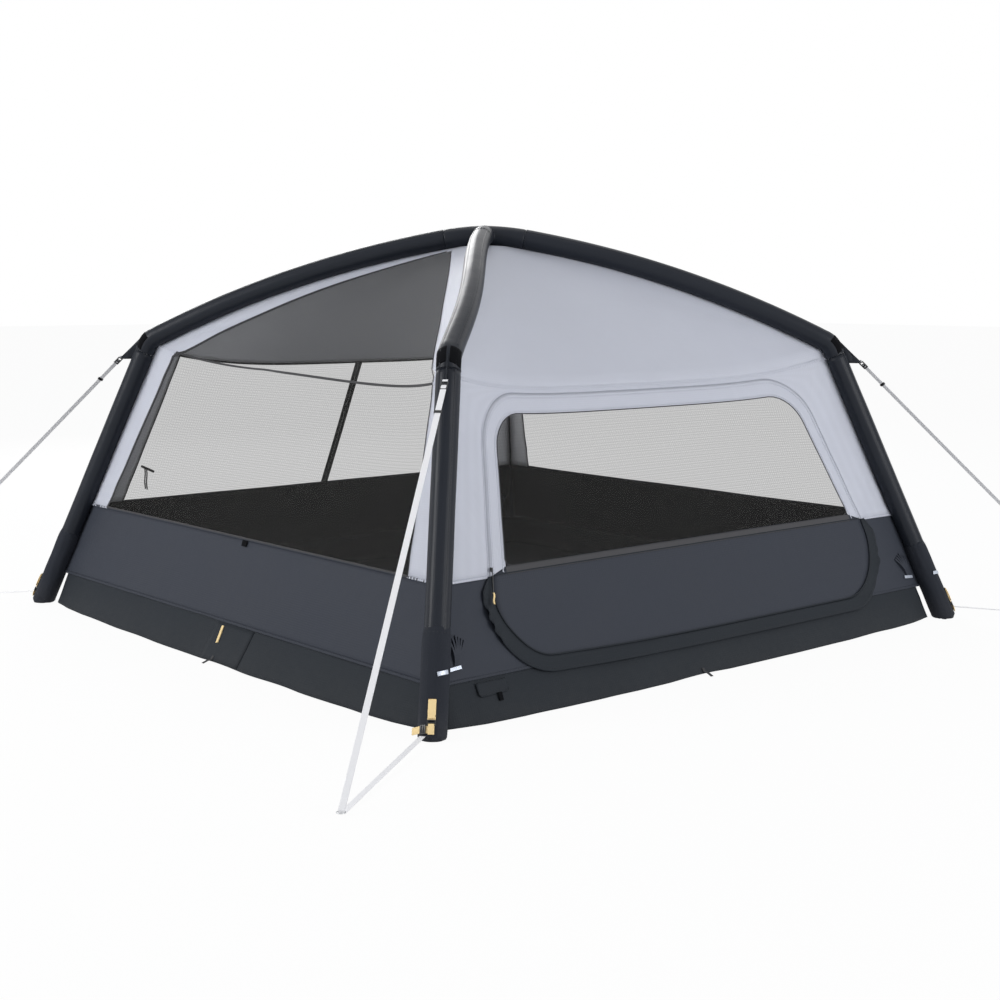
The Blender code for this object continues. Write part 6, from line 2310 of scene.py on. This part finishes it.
def stitch_tree():
    """Lays small rounded bars along lines, each turned to its line and to the cloth."""
    tree = bpy.data.node_groups.new("stitches_along_lines", "GeometryNodeTree")
    socket(tree, "Lines", "NodeSocketGeometry")
    socket(tree, "Pitch", "NodeSocketFloat", 0.014)
    socket(tree, "Length", "NodeSocketFloat", 0.008)
    socket(tree, "Width", "NodeSocketFloat", 0.0014)
    socket(tree, "Height", "NodeSocketFloat", 0.0010)
    socket(tree, "Thread", "NodeSocketMaterial")
    tree.interface.new_socket("Geometry", in_out="OUTPUT", socket_type="NodeSocketGeometry")
    given = add_node(tree, "NodeGroupInput")
    curve = add_node(tree, "GeometryNodeMeshToCurve", None, None, {"Mesh": given.outputs["Lines"]})
    even = add_node(
        tree, "GeometryNodeResampleCurve", {"mode": "LENGTH"}, None,
        {"Curve": curve.outputs["Curve"], "Length": given.outputs["Pitch"]},
    )
    out = add_node(tree, "GeometryNodeInputNamedAttribute", {"data_type": "FLOAT_VECTOR"}, {"Name": "out"})
    tangent = add_node(tree, "GeometryNodeInputTangent")
    facing = add_node(
        tree, "FunctionNodeAxesToRotation", {"primary_axis": "X", "secondary_axis": "Z"}, None,
        {"Primary Axis": tangent.outputs["Tangent"], "Secondary Axis": out.outputs["Attribute"]},
    )
    size = add_node(
        tree, "ShaderNodeCombineXYZ", None, None,
        {"X": given.outputs["Length"], "Y": given.outputs["Width"], "Z": given.outputs["Height"]},
    )
    bar = add_node(tree, "GeometryNodeMeshIcoSphere", None, {"Radius": 0.5, "Subdivisions": 1})
    laid = add_node(
        tree, "GeometryNodeInstanceOnPoints", None, None,
        {
            "Points": even.outputs["Curve"], "Instance": bar.outputs["Mesh"],
            "Rotation": facing.outputs["Rotation"], "Scale": size.outputs["Vector"],
        },
    )
    real = add_node(tree, "GeometryNodeRealizeInstances", None, None, {"Geometry": laid.outputs["Instances"]})
    painted = add_node(
        tree, "GeometryNodeSetMaterial", None, None,
        {"Geometry": real.outputs["Geometry"], "Material": given.outputs["Thread"]},
    )
    add_node(tree, "NodeGroupOutput", None, None, {"Geometry": painted.outputs["Geometry"]})
    return tree


def lines_object(name, lines):
    """Lines as loose edges, with the cloth's outward direction kept on their points."""
    mesh = bpy.data.meshes.new(name)
    points, edges, outs = [], [], []
    for line in lines:
        start = len(points)
        points += [tuple(spot) for spot, _ in line]
        outs += [tuple(out) for _, out in line]
        edges += [(start + k, start + k + 1) for k in range(len(line) - 1)]
    mesh.from_pydata(points, edges, [])
    attribute = mesh.attributes.new("out", "FLOAT_VECTOR", "POINT")
    attribute.data.foreach_set("vector", [value for out in outs for value in out])
    item = bpy.data.objects.new(name, mesh)
    bpy.context.scene.collection.objects.link(item)
    return item


def grown(item, tree, values):
    """The plain mesh that a Geometry Nodes tree makes from an object, which is then removed."""
    modifier = item.modifiers.new("grown", "NODES")
    modifier.node_group = tree
    for entry in tree.interface.items_tree:
        if entry.item_type == "SOCKET" and entry.in_out == "INPUT" and entry.name in values:
            modifier[entry.identifier] = values[entry.name]
    item.update_tag()
    bpy.context.view_layer.update()
    graph = bpy.context.evaluated_depsgraph_get()
    mesh = bpy.data.meshes.new_from_object(item.evaluated_get(graph))
    bpy.data.objects.remove(item)
    return mesh


class TENT_OT_stitches(bpy.types.Operator):
    """Sews the seams: lays every row of stitches and the zips' teeth"""

    bl_idname = "tent.stitches"
    bl_label = "Stitches"

    def execute(self, context):
        sizes = context.scene.tent_sizes
        tree = stitch_tree()
        for (body, thread), lines in STITCHES.items():
            chunk = 60
            for start in range(0, len(lines), chunk):
                item = lines_object("stitch_lines", lines[start : start + chunk])
                mesh = grown(item, tree, {
                    "Pitch": sizes.stitch_pitch, "Length": 0.008, "Width": 0.0016, "Height": 0.0012,
                    "Thread": material(thread),
                })
                if not mesh.polygons:
                    raise RuntimeError("no stitches were made for " + body)
                name = f"stitches_{body}_{thread}_{start // chunk}"
                mesh.shade_smooth()
                self.keep(name, mesh, body)
        for body, side, places in self.zip_lines():
            path, outs = traced(side, places, 0.0012, 0.02)
            item = lines_object("zip_line", [list(zip(path, outs))])
            mesh = grown(item, tree, {
                "Pitch": sizes.tooth_pitch, "Length": 0.0038, "Width": 0.0062, "Height": 0.0028,
                "Thread": material("pale_thread" if side == "front" else "zip_coil"),
            })
            self.keep("zip_teeth_" + side, mesh, body)
        return {"FINISHED"}

    def zip_lines(self):
        door = [tuple(p) for p in resampled([skin_place(*p) for p in upper_door_line(-0.012)], 121)]
        back = [(0.0, 1.0 + (HEM_LEVEL - 1.0) * k / 30) for k in range(31)]
        return ((FRAME, "front", door), ("leaf_left", "back", back))

    def keep(self, name, mesh, body):
        item = bpy.data.objects.new(name, mesh)
        bpy.context.scene.collection.objects.link(item)
        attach(item, body)


class TENT_OT_materials(bpy.types.Operator):
    """Makes the materials that the pieces share"""

    bl_idname = "tent.materials"
    bl_label = "Materials"

    def execute(self, context):
        make_materials()
        return {"FINISHED"}


OPERATORS = (
    TENT_OT_stage, TENT_OT_materials, TENT_OT_guys, TENT_OT_sleeves, TENT_OT_boots, TENT_OT_gussets,
    TENT_OT_front_wall, TENT_OT_door, TENT_OT_left_wall, TENT_OT_right_wall, TENT_OT_back_wall,
    TENT_OT_skirts, TENT_OT_groundsheet, TENT_OT_valve, TENT_OT_stitches,
)


class TENT_PT_sidebar(bpy.types.Panel):
    """Lists the tent's settings and steps in the order in which they run"""

    bl_idname = "TENT_PT_sidebar"
    bl_label = "Inflatable tent"
    bl_space_type = "VIEW_3D"
    bl_region_type = "UI"
    bl_category = "Tent"

    def draw(self, context):
        scene = context.scene
        for group in (scene.tent_colours, scene.tent_sizes):
            box = self.layout.box()
            for name in group.__annotations__:
                box.prop(group, name)
        for operator in OPERATORS:
            self.layout.operator(operator.bl_idname)


CLASSES = (TentColours, TentSizes, *OPERATORS, TENT_PT_sidebar)


def register():
    for item in CLASSES:
        bpy.utils.register_class(item)
    bpy.types.Scene.tent_colours = PointerProperty(type=TentColours)
    bpy.types.Scene.tent_sizes = PointerProperty(type=TentSizes)


def unregister():
    del bpy.types.Scene.tent_sizes
    del bpy.types.Scene.tent_colours
    for item in reversed(CLASSES):
        bpy.utils.unregister_class(item)


def main():
    register()
    for operator in OPERATORS:
        group, name = operator.bl_idname.split(".")
        getattr(getattr(bpy.ops, group), name)()


if __name__ == "__main__":
    main()
